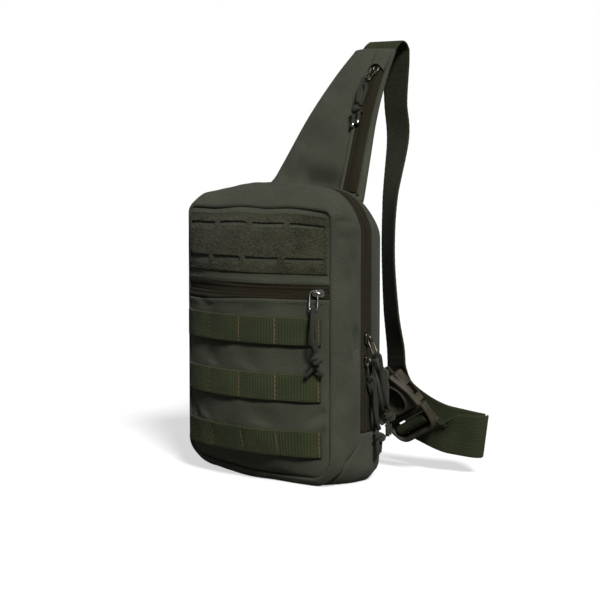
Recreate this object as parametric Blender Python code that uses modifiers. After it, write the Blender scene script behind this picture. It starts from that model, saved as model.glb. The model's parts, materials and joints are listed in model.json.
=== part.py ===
"""Tactical sling bag: a body with a front pocket, a leaning shoulder wedge, and one webbing strap.

Metres, +Z up, front face towards -Y. The origin is the middle of the base that the bag stands on.
"""
import bpy
import bmesh
from math import cos, pi, radians, sin, sqrt
from mathutils import Matrix, Vector

# ---- driving dimensions -------------------------------------------------------------------
GAP = 0.0003                 # clearance that touching pieces keep
SEAM_GAP = 0.0016            # clearance where a sloping wall meets the zip
CLOTH = 0.0018               # one coated fabric wall with its lining
TAPE = 0.0008                # zip tape
WEBBING = 0.0018             # nylon webbing
LINING = 0.0012
COIL_HEIGHT = 0.0009         # a zip's coil stands this much above its tape
SEAM_TUCK = 0.0012           # how far a panel's edge lies inside the seam that joins it
SHELL_MIDDLE = (0, 0, 0.13)  # a point inside the bag, which tells a wall's inner face

# The bag's outline at five depths: y, half width, base, top, top and bottom corner radii.
SECTIONS = [
    (-0.034, 0.0825, 0.0055, 0.2500, 0.014, 0.028),
    (-0.023, 0.0860, 0.0000, 0.2590, 0.024, 0.032),
    (0.000, 0.0885, 0.0000, 0.2655, 0.034, 0.034),
    (0.020, 0.0885, 0.0000, 0.2640, 0.036, 0.034),
    (0.036, 0.0845, 0.0030, 0.2520, 0.032, 0.034),
]
SEAM_Y = SECTIONS[0][0]
BACK_Y = SECTIONS[-1][0]
FRONT_BULGE = 0.024          # how far the filled front stands out of its seam
ZIP_END_Z = 0.046            # the main zip runs over the top, down to this height on both sides
ZIP_Y = (0.0010, 0.0100, 0.0195)   # front edge, coil line and rear edge of the main zip
MAIN_ZIP_DEPTH = 0.0012      # the main zip's tapes lie this far below the cloth
MAIN_COIL_HALF_WIDTH = 0.0020
BACK_PANEL_THICK = 0.0030
BACK_PAD_THICK = 0.0065

# Front panel, bottom to top
POCKET_ZIP_Z = (0.1680, 0.1745, 0.1820)    # lower edge, coil line, upper edge
PANEL_INSET = 0.0022         # from the front seam to the panel's edge
POCKET_ZIP_DEPTH = 0.0016
POCKET_COIL_HALF_WIDTH = 0.0017
POCKET_ZIP_INSET = 0.0030
LINING_INSET = 0.0075
WELT_RADIUS = 0.0011
LOOP_PANEL_Z = (0.1905, 0.2435)
LOOP_HALF_WIDTH = 0.0785
LOOP_PANEL_THICK = 0.0012
LOOP_PANEL_LIFT = 0.0024
SLOTS_PER_ROW = 4
SLOT_BRIDGE = 0.006          # pile left between two slots
SLOT_ROWS_Z = (0.2030, 0.2330)
SLOT_HEIGHT = 0.0028
MOLLE_WIDTH = 0.025
MOLLE_PITCH = 0.050
MOLLE_FIRST_Z = 0.028
MOLLE_X = (-0.0790, 0.0730)  # the webbing stops short of the right-hand seam
MOLLE_CELLS = 4
MOLLE_RISE = 0.0026          # how far a cell of webbing stands off the panel

# Shoulder wedge: centre line points (x, y, z), half width at each end, half thickness
WEDGE_LINE = [
    (0.001, 0.0475, 0.2545), (0.002, 0.0540, 0.2670), (0.003, 0.0670, 0.2900),
    (0.005, 0.0890, 0.3290), (0.007, 0.1160, 0.3660), (0.009, 0.1425, 0.3955),
]
WEDGE_HALF_WIDTH = (0.0570, 0.0205)
WEDGE_HALF_THICK = (0.0085, 0.0030)
WEDGE_ZIP_T = (0.16, 0.88)   # the wedge's zip, from near the base (0) to near the tip (1)
WEDGE_ZIP_LIFT = 0.0014
WEDGE_COIL_LIFT = WEDGE_ZIP_LIFT + 0.0012
WEDGE_COIL_HALF_WIDTH = 0.0018
GARAGE_T = (0.835, 0.965)    # the cloth cover over the parked slider
GARAGE_LIFT = 0.0040
GARAGE_WIDTHS = (-0.008, -0.003, 0.002, 0.006)   # its rows of points, from the coil line

# Strap: 40 mm webbing from the wedge's tip, over the crest, down behind the bag to the fold
STRAP_WIDTH = 0.040
STRAP_ROUTE = [
    ((0.0095, 0.1475, 0.4008), (1.00, 0.00, 0.00)),
    ((0.0100, 0.1560, 0.4050), (1.00, -0.05, 0.00)),
    ((0.0105, 0.1650, 0.4010), (0.99, -0.12, 0.00)),
    ((0.0110, 0.1695, 0.3880), (0.97, -0.22, 0.00)),
    ((0.0140, 0.1660, 0.3450), (0.92, -0.39, 0.00)),
    ((0.0240, 0.1550, 0.3080), (0.89, -0.45, 0.00)),
    ((0.0370, 0.1230, 0.2500), (0.78, -0.63, 0.00)),
    ((0.0510, 0.0995, 0.2000), (0.76, -0.65, 0.00)),
    ((0.0635, 0.0860, 0.1500), (0.80, -0.60, 0.00)),
    ((0.0700, 0.0845, 0.1150), (0.84, -0.54, 0.10)),
    ((0.0725, 0.0840, 0.0930), (0.80, -0.50, 0.35)),
    ((0.0790, 0.0860, 0.0730), (0.60, -0.35, 0.70)),
    ((0.0934, 0.0900, 0.0560), (0.35, -0.15, 0.92)),
    ((0.1128, 0.0950, 0.0450), (0.15, -0.05, 0.98)),
    ((0.1340, 0.1015, 0.0400), (0.12, 0.02, 0.99)),
    ((0.1520, 0.1070, 0.0370), (0.12, 0.03, 0.99)),
]

# Side-release buckle for 40 mm webbing, in a frame of its own: a along the pull, w across, n out
BUCKLE_CENTRE = Vector((0.0922, 0.0610, 0.0650))
BUCKLE_A = Vector((0.501, 0.382, -0.780)).normalized()
BUCKLE_N = Vector((0.021, -0.900, -0.430)).normalized()
BUCKLE_WIDTH = 0.050
BUCKLE_THICK = 0.0115
FEMALE_A = (-0.0290, 0.0060)
MALE_A = (0.0075, 0.0300)
BAR_A = 0.0205               # the ladder bar that the webbing wraps
BAR_RADIUS = 0.0019
FEMALE_WALL = 0.0030         # the socket's side walls; top and bottom are a little thinner
FEMALE_COVER = 0.0025
FEMALE_SOLID = 0.0115        # length of the socket's closed end, which holds the webbing's slot
WINDOW_A = -0.0085           # where the side windows and the arms' buttons lie
WINDOW_SIZE = (0.0120, 0.0120, 0.0075)
MALE_THICK = 0.0080
MALE_END_BAR = 0.0022        # the plug frame's bar past the webbing
GUIDE_SIZE = (0.0190, 0.0090, 0.0042)
ARM_SIZE = (0.0130, 0.0038, 0.0050)
BUTTON_SIZE = (0.0090, 0.0052, 0.0056)
BUCKLE_TAB = 0.0085          # webbing between the socket and the wing

# Zip hardware and cords
RING_WIDTH = 0.0085
RING_LENGTH = 0.0190
RING_WIRE = 0.00065
CORD_RADIUS = 0.0017
KNOT_RADIUS = 0.0056
KNOT_STRETCH = 1.15          # a knot is longer than it is wide
KNOT_GAP = 0.0009            # between the cord's ends and its knot
CORD_STEP = 0.0028           # distance between a cord's points

SLIDER_PLATE = (0.0105, 0.0080, 0.0020)
SLIDER_CROWN = (0.0072, 0.0024, 0.0050)
SLIDER_EYE_SIZE = (0.0046, 0.0100, 0.0027)
SLIDER_EYE = 0.00140         # height of the crown's eye above the slider's plate
FRONT_SLIDER_X = 0.0720
WEDGE_SLIDER_T = 0.800
WEDGE_KNOT = (0.505, 0.0240, 0.0078)         # along the wedge, across it, above its face
WEDGE_TAILS = ((0.440, 0.0285, 0.0060), (0.420, 0.0240, 0.0056))
WEDGE_PULL_TILT = radians(8)
FRONT_PULL_TILT = radians(14)
FRONT_KNOT = (0.0005, 0.1165, 0.0122)       # beside the slider, height, above the panel
FRONT_TAILS = ((-0.0075, -0.0130), (0.0030, -0.0125))
FRONT_TAIL_LIFT = 0.0095
MAIN_PULLS = [               # name, slider height, ring tilt, knot, tail ends, spread of the cord's legs
    ("upper", 0.1310, radians(26), (0.0990, 0.0315, 0.0590),
     ((0.0985, 0.0330, 0.0440), (0.0995, 0.0280, 0.0430)), 0.0050),
    ("lower", 0.1105, radians(7), (0.0975, 0.0180, 0.0420),
     ((0.0970, 0.0200, 0.0290), (0.0980, 0.0150, 0.0280)), 0.0045),
]
WING_X = (0.0852, 0.0935)    # the wing stands out of the rear seam between these
WING_Z = (0.0580, 0.1060)

COLOURS = {
    "pack_cloth": ((0.060, 0.066, 0.050), 0.85, 0.0),
    "lining": ((0.045, 0.048, 0.040), 0.80, 0.0),
    "webbing": ((0.050, 0.060, 0.034), 0.75, 0.0),
    "loop_pile": ((0.052, 0.058, 0.040), 0.95, 0.0),
    "zip_tape": ((0.040, 0.036, 0.024), 0.70, 0.0),
    "buckle_plastic": ((0.055, 0.052, 0.036), 0.45, 0.0),
    "cord": ((0.035, 0.036, 0.026), 0.85, 0.0),
    "silver_metal": ((0.60, 0.60, 0.58), 0.30, 1.0),
    "dark_metal": ((0.16, 0.15, 0.13), 0.35, 1.0),
}

for scene_object in list(bpy.data.objects):
    bpy.data.objects.remove(scene_object, do_unlink=True)

parts = bpy.data.collections.new("sling_bag")
cutters = bpy.data.collections.new("cutters")
bpy.context.scene.collection.children.link(parts)
bpy.context.scene.collection.children.link(cutters)


# ---- helpers ------------------------------------------------------------------------------
def material(name):
    """The Principled material of one kind of stuff."""
    found = bpy.data.materials.get(name)
    if found:
        return found
    colour, roughness, metallic = COLOURS[name]
    made = bpy.data.materials.new(name)
    made.use_nodes = True
    shader = made.node_tree.nodes["Principled BSDF"]
    shader.inputs["Base Color"].default_value = (*colour, 1.0)
    shader.inputs["Roughness"].default_value = roughness
    shader.inputs["Metallic"].default_value = metallic
    return made


def add(name, data, stuff, pivot=None, collection=parts):
    """Put mesh or curve data in the scene as a named object, parented to its joint's empty."""
    obj = bpy.data.objects.new(name, data)
    collection.objects.link(obj)
    if stuff:
        data.materials.append(material(stuff))
    if pivot:
        obj.parent = pivot
        obj.matrix_parent_inverse = pivot.matrix_basis.inverted()
    if collection is cutters:
        obj.hide_render = True
        obj.display_type = "WIRE"
    return obj


def pivot_at(name, place, parent=None):
    """An empty on a joint's axis, which carries the pieces that the joint moves."""
    empty = bpy.data.objects.new(name, None)
    empty.location = place
    parts.objects.link(empty)
    if parent:
        empty.parent = parent
        empty.matrix_parent_inverse = parent.matrix_basis.inverted()
    return empty


def mesh_of(name, points, faces, fix_normals=True):
    mesh = bpy.data.meshes.new(name)
    mesh.from_pydata([tuple(p) for p in points], [], faces)
    if fix_normals:
        made = bmesh.new()
        made.from_mesh(mesh)
        bmesh.ops.recalc_face_normals(made, faces=made.faces)
        made.to_mesh(mesh)
        made.free()
    return mesh


def sheet(name, rows, thickness, stuff, inside, pivot=None):
    """An open grid through rows of points, thickened towards the point `inside`."""
    columns = len(rows[0])
    points = [p for row in rows for p in row]
    faces = []
    for i in range(len(rows) - 1):
        for j in range(columns - 1):
            a = i * columns + j
            faces.append((a, a + 1, a + columns + 1, a + columns))
    middle = faces[len(faces) // 2]
    p = [Vector(points[k]) for k in middle]
    normal = (p[1] - p[0]).cross(p[3] - p[0])
    if normal.dot(p[0] - Vector(inside)) < 0:
        faces = [tuple(reversed(face)) for face in faces]
    obj = add(name, mesh_of(name, points, faces, fix_normals=False), stuff, pivot)
    solid = obj.modifiers.new("thickness", "SOLIDIFY")
    solid.thickness = thickness
    solid.offset = -1.0
    solid.use_even_offset = True
    return obj


def loft(name, rings, stuff, pivot=None):
    """A closed body through rings of points, with flat ends."""
    n = len(rings[0])
    points = [p for ring in rings for p in ring]
    faces = []
    for i in range(len(rings) - 1):
        for j in range(n):
            k = (j + 1) % n
            faces.append((i * n + j, i * n + k, (i + 1) * n + k, (i + 1) * n + j))
    last = (len(rings) - 1) * n
    faces.append(tuple(range(n)))
    faces.append(tuple(last + j for j in range(n)))
    return add(name, mesh_of(name, points, faces), stuff, pivot)


def smooth(points, step):
    """Points `step` apart on the Catmull-Rom curve through the route's own points."""
    return [point for point, _ in smooth_pairs([(p, p) for p in points], step)]


def smooth_pairs(pairs, step):
    """The same for (point, direction) pairs, whose directions turn along with the points."""
    keys = [(Vector(p), Vector(d)) for p, d in pairs]
    per_span = 20
    dense = []
    for i in range(len(keys) - 1):
        before, a, b = keys[max(i - 1, 0)], keys[i], keys[i + 1]
        after = keys[min(i + 2, len(keys) - 1)]
        for k in range(per_span):
            t = k / per_span
            dense.append(tuple(catmull(before[m], a[m], b[m], after[m], t) for m in (0, 1)))
    dense.append(keys[-1])
    length = sum((q[0] - p[0]).length for p, q in zip(dense, dense[1:]))
    count = max(2, round(length / step))
    found, travelled, k = [dense[0]], 0.0, 0
    for i in range(1, count):
        target = length * i / count
        while travelled + (dense[k + 1][0] - dense[k][0]).length < target:
            travelled += (dense[k + 1][0] - dense[k][0]).length
            k += 1
        part = (target - travelled) / (dense[k + 1][0] - dense[k][0]).length
        found.append(tuple(dense[k][m].lerp(dense[k + 1][m], part) for m in (0, 1)))
    found.append(dense[-1])
    return found


def catmull(before, a, b, after, t):
    """The Catmull-Rom point at t between a and b."""
    return 0.5 * (2 * a + (b - before) * t + (2 * before - 5 * a + 4 * b - after) * t * t
                  + (3 * a - before - 3 * b + after) * t ** 3)


def ribbon(name, centres, across, width, thickness, stuff, pivot=None):
    """Flat webbing: a rectangle swept along its centres, with its width along `across`."""
    rings = []
    for i, centre in enumerate(centres):
        ahead = centres[min(i + 1, len(centres) - 1)] - centres[max(i - 1, 0)]
        ahead.normalize()
        wide = across[i] - across[i].dot(ahead) * ahead
        wide.normalize()
        out = ahead.cross(wide)
        w, t = wide * width / 2, out * thickness / 2
        rings.append([centre + w + t, centre - w + t, centre - w - t, centre + w - t])
    return loft(name, rings, stuff, pivot)


def tube(name, points, radius, stuff, pivot=None, closed=False, sides=2):
    """A round wire or cord on a poly spline."""
    curve = bpy.data.curves.new(name, "CURVE")
    curve.dimensions = "3D"
    curve.bevel_depth = radius
    curve.bevel_resolution = sides
    curve.use_fill_caps = True
    spline = curve.splines.new("POLY")
    spline.points.add(len(points) - 1)
    for target, point in zip(spline.points, points):
        target.co = (*point, 1.0)
    spline.use_cyclic_u = closed
    return add(name, curve, stuff, pivot)


def block(name, size, place, frame=None, bevel=0.0, stuff=None, pivot=None, collection=parts):
    """A box of the given size about `place`, in the axes of `frame`, with rounded edges."""
    made = bmesh.new()
    bmesh.ops.create_cube(made, size=1.0)
    bmesh.ops.scale(made, vec=size, verts=made.verts)
    mesh = bpy.data.meshes.new(name)
    made.to_mesh(mesh)
    made.free()
    turn = frame if frame else Matrix.Identity(3)
    mesh.transform(Matrix.Translation(place) @ turn.to_4x4())
    obj = add(name, mesh, stuff, pivot, collection)
    if bevel:
        edge = obj.modifiers.new("round", "BEVEL")
        edge.width = bevel
        edge.segments = 2
        edge.limit_method = "ANGLE"
    return obj


def combine(obj, other, operation="DIFFERENCE"):
    """Cut `other` from `obj`, or join it on."""
    cut = obj.modifiers.new(other.name, "BOOLEAN")
    cut.operation = operation
    cut.object = other
    cut.solver = "EXACT"


def frame_of(first, third):
    """Axes with x along `first` and z as near `third` as it can be."""
    x = Vector(first).normalized()
    z = Vector(third)
    z = (z - z.dot(x) * x).normalized()
    y = z.cross(x)
    return Matrix((x, y, z)).transposed()


# ---- the bag's shape ----------------------------------------------------------------------
def section(y):
    """Half width, base, top and corner radii of the bag's outline at depth y."""
    y = min(max(y, SEAM_Y), BACK_Y)
    for low, high in zip(SECTIONS, SECTIONS[1:]):
        if y <= high[0]:
            part = (y - low[0]) / (high[0] - low[0])
            return [a + (b - a) * part for a, b in zip(low[1:], high[1:])]
    return list(SECTIONS[-1][1:])


def arch(y, offset=0.0, foot=ZIP_END_Z):
    """The outline over the top, from the foot on the right side to the foot on the left."""
    w, _, top, r, _ = section(y)
    w, top, r = w + offset, top + offset, r + offset
    half = [(w, foot), (w, foot + (top - r - foot) * 0.5)]
    for k in range(6):
        angle = pi / 2 * k / 5
        half.append((w - r + r * cos(angle), top - r + r * sin(angle)))
    half.append(((w - r) / 2, top))
    left = [(-x, z) for x, z in reversed(half)]
    return [Vector((x, y, z)) for x, z in half + [(0.0, top)] + left]


def trough(y, offset=0.0, head=ZIP_END_Z - GAP):
    """The outline under the base, from the head on the right side to the head on the left."""
    w, base, _, _, r = section(y)
    w, base, r = w + offset, base - offset, r + offset
    half = [(w, head), (w, (head + base + r) / 2)]
    for k in range(6):
        angle = pi / 2 * k / 5
        half.append((w - r + r * cos(angle), base + r - r * sin(angle)))
    left = [(-x, z) for x, z in reversed(half)]
    return [Vector((x, y, z)) for x, z in half + [(0.0, base)] + left]


def depths(start, end):
    """The depths at which a strip of the side wall has a row of points."""
    between = [s[0] for s in SECTIONS if start + 0.001 < s[0] < end - 0.001]
    return [start] + between + [end]


def wall(name, line, start, end, thickness, stuff, offset=0.0, pivot=None):
    """A strip of the bag's side wall between two depths."""
    rows = [line(y, offset) for y in depths(start, end)]
    return sheet(name, rows, thickness, stuff, SHELL_MIDDLE, pivot)


def front_half_width(z, inset):
    """Half width of the front panel at height z, inside its rounded corners."""
    w, base, top, r_top, r_base = section(SEAM_Y)
    w, base, top = w - inset, base + inset, top - inset
    if z < base + r_base:
        return w - r_base + sqrt(max(r_base ** 2 - (base + r_base - z) ** 2, 0.0))
    if z > top - r_top:
        return w - r_top + sqrt(max(r_top ** 2 - (z - top + r_top) ** 2, 0.0))
    return w


def front_y(x, z, lift=0.0):
    """The filled front: a shallow pillow that ends in the front seam."""
    w, base, top, _, _ = section(SEAM_Y)
    middle, half = (base + top) / 2, (top - base) / 2
    radius = (w ** 2 + FRONT_BULGE ** 2) / (2 * FRONT_BULGE)
    across = (sqrt(radius ** 2 - min(x ** 2, w ** 2)) - radius + FRONT_BULGE) / FRONT_BULGE
    upright = max(1 - abs((z - middle) / half) ** 5, 0.0)
    return SEAM_Y - FRONT_BULGE * across * upright - lift


def front_normal(x, z):
    step = 0.001
    dx = (front_y(x + step, z) - front_y(x - step, z)) / (2 * step)
    dz = (front_y(x, z + step) - front_y(x, z - step)) / (2 * step)
    return Vector((dx, -1.0, dz)).normalized()


def front_patch(name, heights, thickness, stuff, inset=PANEL_INSET, lift=0.0, half=None, columns=12):
    """A piece of the front panel between the first and last of `heights`."""
    rows = []
    for z in heights:
        reach = front_half_width(z, inset)
        if half:
            reach = min(reach, half)
        xs = [reach * (2 * j / columns - 1) for j in range(columns + 1)]
        rows.append([Vector((x, front_y(x, z, lift), z)) for x in xs])
    behind = (0, 0.1, heights[len(heights) // 2])
    return sheet(name, rows, thickness, stuff, behind, front_hinge)


def corner_heights(start, end, rounds_up, rounds_down, between):
    """Heights that bunch up where the outline rounds its corners."""
    _, _, _, r_top, r_base = section(SEAM_Y)
    found = []
    low, high = start, end
    if rounds_down:
        found += [start + r_base * (1 - cos(pi / 2 * k / 5)) for k in range(5)]
        low = start + r_base
    if rounds_up:
        high = end - r_top
    found += [low + (high - low) * k / between for k in range(between + 1)]
    if rounds_up:
        found += [high + r_top * sin(pi / 2 * k / 4) for k in range(1, 5)]
    return found


# ---- joints' empties ----------------------------------------------------------------------
front_hinge = pivot_at("front_shell_axis", (0, SEAM_Y, SECTIONS[0][2]))


# ---- back shell: everything that the wearer's back holds ----------------------------------
def back_shell():
    w, base, top, r_top, r_base = section(BACK_Y)

    def slab(name, inner, outer, shrink, stuff):
        """A flat rounded panel between two depths."""
        edge = []
        for x_sign, z_sign, r in ((1, -1, r_base), (1, 1, r_top), (-1, 1, r_top), (-1, -1, r_base)):
            cx = x_sign * (w - r - shrink)
            cz = (base + r + shrink) if z_sign < 0 else (top - r - shrink)
            start = {(1, -1): -pi / 2, (1, 1): 0.0, (-1, 1): pi / 2, (-1, -1): pi}[(x_sign, z_sign)]
            for k in range(5):
                angle = start + pi / 2 * k / 4
                edge.append((cx + r * cos(angle), cz + r * sin(angle)))
        rings = [[Vector((x, y, z)) for x, z in edge] for y in (inner, outer)]
        return loft(name, rings, stuff)

    slab("back_panel", BACK_Y - BACK_PANEL_THICK - GAP, BACK_Y - GAP, BACK_PANEL_THICK, "lining")
    slab("back_pad", BACK_Y + GAP, BACK_Y + BACK_PAD_THICK, SEAM_TUCK, "pack_cloth")
    wall("rear_gusset", arch, ZIP_Y[2] + SEAM_GAP, BACK_Y, CLOTH, "pack_cloth")
    wall("bottom_panel", trough, SEAM_Y + SEAM_TUCK, BACK_Y, CLOTH, "pack_cloth")


def main_zip():
    """The tapes lie a little below the cloth, and the coil stands on them along the middle."""
    front, coil, rear = ZIP_Y
    sunk = -MAIN_ZIP_DEPTH
    wall("main_zip_tape_front", arch, front, coil - GAP, TAPE, "zip_tape", sunk, front_hinge)
    wall("main_zip_tape_rear", arch, coil + GAP, rear, TAPE, "zip_tape", sunk)
    raised = sunk + GAP + COIL_HEIGHT
    wall("main_zip_coil_front", arch, coil - MAIN_COIL_HALF_WIDTH, coil - GAP / 2, COIL_HEIGHT, "zip_tape",
         raised, front_hinge)
    wall("main_zip_coil_rear", arch, coil + GAP / 2, coil + MAIN_COIL_HALF_WIDTH, COIL_HEIGHT, "zip_tape",
         raised)


def front_shell():
    """The front: side wall, pillow-shaped panel in two parts, pocket lining and the seam's welt."""
    wall("front_gusset", arch, SEAM_Y + SEAM_TUCK, ZIP_Y[0] - SEAM_GAP, CLOTH, "pack_cloth",
         pivot=front_hinge)
    _, base, top, _, _ = section(SEAM_Y)
    lower = corner_heights(base + PANEL_INSET, POCKET_ZIP_Z[0] - GAP, False, True, 7)
    upper = corner_heights(POCKET_ZIP_Z[2] + GAP, top - PANEL_INSET, True, False, 5)
    front_patch("front_panel_lower", lower, CLOTH, "pack_cloth")
    front_patch("front_panel_upper", upper, CLOTH, "pack_cloth")
    pocket_zip()
    rows = []
    for z in corner_heights(base + LINING_INSET, top - LINING_INSET, True, True, 2):
        reach = front_half_width(z, LINING_INSET)
        rows.append([Vector((reach * s, SEAM_Y + 0.0030, z)) for s in (-1.0, 0.0, 1.0)])
    sheet("front_pocket_lining", rows, LINING, "lining", (0, 0.1, 0.13), front_hinge)
    front_welt()


def pocket_zip():
    """Both halves of the front pocket's zip, sunk between the two panels' edges."""
    low, shut, high = POCKET_ZIP_Z
    sunk = -POCKET_ZIP_DEPTH
    raised = sunk + GAP + COIL_HEIGHT
    half = POCKET_COIL_HALF_WIDTH
    for name, tape, coil in (("lower", [low, shut - GAP / 2], [shut - half, shut - GAP / 2]),
                             ("upper", [shut + GAP / 2, high], [shut + GAP / 2, shut + half])):
        front_patch(f"pocket_zip_tape_{name}", tape, TAPE, "zip_tape", POCKET_ZIP_INSET, sunk)
        front_patch(f"pocket_zip_coil_{name}", coil, COIL_HEIGHT, "zip_tape", 2 * POCKET_ZIP_INSET, raised)


def front_welt():
    """The piped seam right round the front panel."""
    w, base, top, r_top, r_base = section(SEAM_Y)
    welt = []
    for x_sign, z_sign, start in ((1, -1, -pi / 2), (1, 1, 0), (-1, 1, pi / 2), (-1, -1, pi)):
        r = r_top if z_sign > 0 else r_base
        cx = x_sign * (w - r)
        cz = top - r if z_sign > 0 else base + r
        for k in range(6):
            angle = start + pi / 2 * k / 5
            welt.append(Vector((cx + r * cos(angle), SEAM_Y - 0.0004, cz + r * sin(angle))))
    tube("front_seam_welt", welt, WELT_RADIUS, "pack_cloth", front_hinge, closed=True)


def loop_panel():
    """Laser-cut loop panel: two rows of four slots for clips and patches."""
    low, high = LOOP_PANEL_Z
    levels = [low + (high - low) * k / 8 for k in range(9)]
    panel = front_patch("loop_panel", levels, LOOP_PANEL_THICK, "loop_pile", 0.0040, LOOP_PANEL_LIFT,
                        LOOP_HALF_WIDTH)
    pitch = 2 * LOOP_HALF_WIDTH / SLOTS_PER_ROW
    for row, z in enumerate(SLOT_ROWS_Z):
        for column in range(SLOTS_PER_ROW):
            x = -LOOP_HALF_WIDTH + pitch * (column + 0.5)
            facing = frame_of((1, (front_y(x + 0.001, z) - front_y(x, z)) / 0.001, 0), (0, 0, 1))
            place = Vector((x, front_y(x, z, 0.001), z))
            cutter = block(f"slot_{row}_{column}", (pitch - SLOT_BRIDGE, 0.010, SLOT_HEIGHT), place,
                           facing, collection=cutters)
            combine(panel, cutter)


def molle_rows():
    """Three rows of webbing, stitched down at five places, with a loop between each two."""
    steps = 5 * MOLLE_CELLS
    left, right = MOLLE_X
    for row in range(3):
        middle = MOLLE_FIRST_Z + MOLLE_WIDTH / 2 + MOLLE_PITCH * (2 - row)
        centres, across = [], []
        for k in range(steps + 1):
            x = left + (right - left) * k / steps
            rise = MOLLE_RISE * abs(sin(pi * MOLLE_CELLS * k / steps)) ** 0.7
            normal = front_normal(x, middle)
            foot = Vector((x, front_y(x, middle), middle))
            centres.append(foot + normal * (0.0009 + WEBBING / 2 + rise))
            across.append(Vector((0, 0, 1)) - normal * normal.z)
        ribbon(f"molle_row_{row + 1}", centres, across, MOLLE_WIDTH, WEBBING, "webbing", front_hinge)


# ---- shoulder wedge -----------------------------------------------------------------------
def wedge_at(t):
    """Centre, tangent and outward (front) normal of the wedge at t from 0 (base) to 1 (tip)."""
    line = smooth(WEDGE_LINE, 0.004)
    place = t * (len(line) - 1)
    k = min(int(place), len(line) - 2)
    centre = line[k].lerp(line[k + 1], place - k)
    tangent = (line[min(k + 2, len(line) - 1)] - line[max(k - 1, 0)]).normalized()
    normal = Vector((1, 0, 0)).cross(tangent).normalized()
    if normal.y > 0:
        normal.negate()
    return centre, tangent, normal


def wedge_size(t):
    """Half width and half thickness of the wedge at t."""
    return [pair[0] + (pair[1] - pair[0]) * t for pair in (WEDGE_HALF_WIDTH, WEDGE_HALF_THICK)]


def wedge_surface(t, u, lift=0.0):
    """A point on the wedge's front face, u metres to the right of its centre line."""
    centre, _, normal = wedge_at(t)
    w, h = wedge_size(t)
    crown = h * (1 - abs(u / w) ** 3) ** (1 / 3)
    return centre + Vector((u, 0, 0)) + normal * (crown + lift)


def wedge_zip_u(t):
    """Where the wedge's zip lies: along the right-hand edge."""
    return wedge_size(t)[0] - 0.0125 + 0.003 * t


def shoulder_wedge():
    """The padded wedge, rounder than an ellipse in section and thinner towards its tip."""
    rings = []
    steps, sides = 9, 20
    for i in range(steps + 1):
        t = i / steps
        centre, _, normal = wedge_at(t)
        w, h = wedge_size(t)
        ring = []
        for k in range(sides):
            angle = 2 * pi * k / sides
            c, s = cos(angle), sin(angle)
            x = w * (abs(c) ** (2 / 3)) * (1 if c >= 0 else -1)
            n = h * (abs(s) ** (2 / 3)) * (1 if s >= 0 else -1)
            ring.append(centre + Vector((x, 0, 0)) + normal * n)
        rings.append(ring)
    loft("shoulder_wedge", rings, "pack_cloth")
    wedge_zip()


def wedge_zip():
    """Tapes and coil down the wedge's right-hand edge, and the cloth garage at their top."""
    behind = (0, 0.25, 0.25)
    low, high = WEDGE_ZIP_T
    zip_line = [low + (high - low) * k / 12 for k in range(13)]
    for name, side, reach in (("wedge_zip_tape_inner", -1, 0.0062), ("wedge_zip_tape_outer", 1, 0.0058)):
        rows = []
        for t in zip_line:
            u = wedge_zip_u(t)
            us = [u + side * (GAP / 2 + (reach - GAP) * k / 2) for k in range(3)]
            rows.append([wedge_surface(t, value, WEDGE_ZIP_LIFT) for value in us])
        sheet(name, rows, TAPE, "zip_tape", behind)
    half = WEDGE_COIL_HALF_WIDTH
    rows = [[wedge_surface(t, wedge_zip_u(t) + u, WEDGE_COIL_LIFT) for u in (-half, half)] for t in zip_line]
    sheet("wedge_zip_coil", rows, COIL_HEIGHT, "zip_tape", behind)
    low, high = GARAGE_T
    rows = []
    for k in range(5):
        t = low + (high - low) * k / 4
        u = wedge_zip_u(t)
        rows.append([wedge_surface(t, u + beside, GARAGE_LIFT) for beside in GARAGE_WIDTHS])
    sheet("wedge_zip_garage", rows, 0.0010, "pack_cloth", behind)


# ---- strap and buckle ---------------------------------------------------------------------
def strap():
    pairs = smooth_pairs(STRAP_ROUTE, 0.009)
    centres, across = zip(*pairs)
    ribbon("shoulder_strap", centres, across, STRAP_WIDTH, WEBBING, "webbing")


def buckle_point(a, w=0.0, n=0.0):
    """A world point from the buckle's own coordinates."""
    across = BUCKLE_N.cross(BUCKLE_A)
    return BUCKLE_CENTRE + BUCKLE_A * a + across * w + BUCKLE_N * n


def buckle_block(name, size, a, w=0.0, n=0.0, **more):
    """A block in the buckle's own axes, at the buckle's own coordinates."""
    return block(name, size, buckle_point(a, w, n), frame_of(BUCKLE_A, BUCKLE_N), **more)


def buckle_socket():
    """The female half: a hollow shell with a window on each side and a slot for its webbing."""
    start, end = FEMALE_A
    length = end - start
    female = buckle_block("buckle_female", (length, BUCKLE_WIDTH, BUCKLE_THICK), (start + end) / 2,
                          bevel=0.0018, stuff="buckle_plastic")
    hollow = (length, BUCKLE_WIDTH - 2 * FEMALE_WALL, BUCKLE_THICK - 2 * FEMALE_COVER)
    combine(female, buckle_block("female_cavity", hollow, start + FEMALE_SOLID + length / 2,
                                 collection=cutters))
    for side in (-1, 1):
        combine(female, buckle_block(f"female_window_{side}", WINDOW_SIZE, WINDOW_A, side * BUCKLE_WIDTH / 2,
                                     collection=cutters))
    slot = (0.0042, STRAP_WIDTH + 0.002, BUCKLE_THICK * 2)
    combine(female, buckle_block("female_eye", slot, start + 0.0056, collection=cutters))


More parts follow.
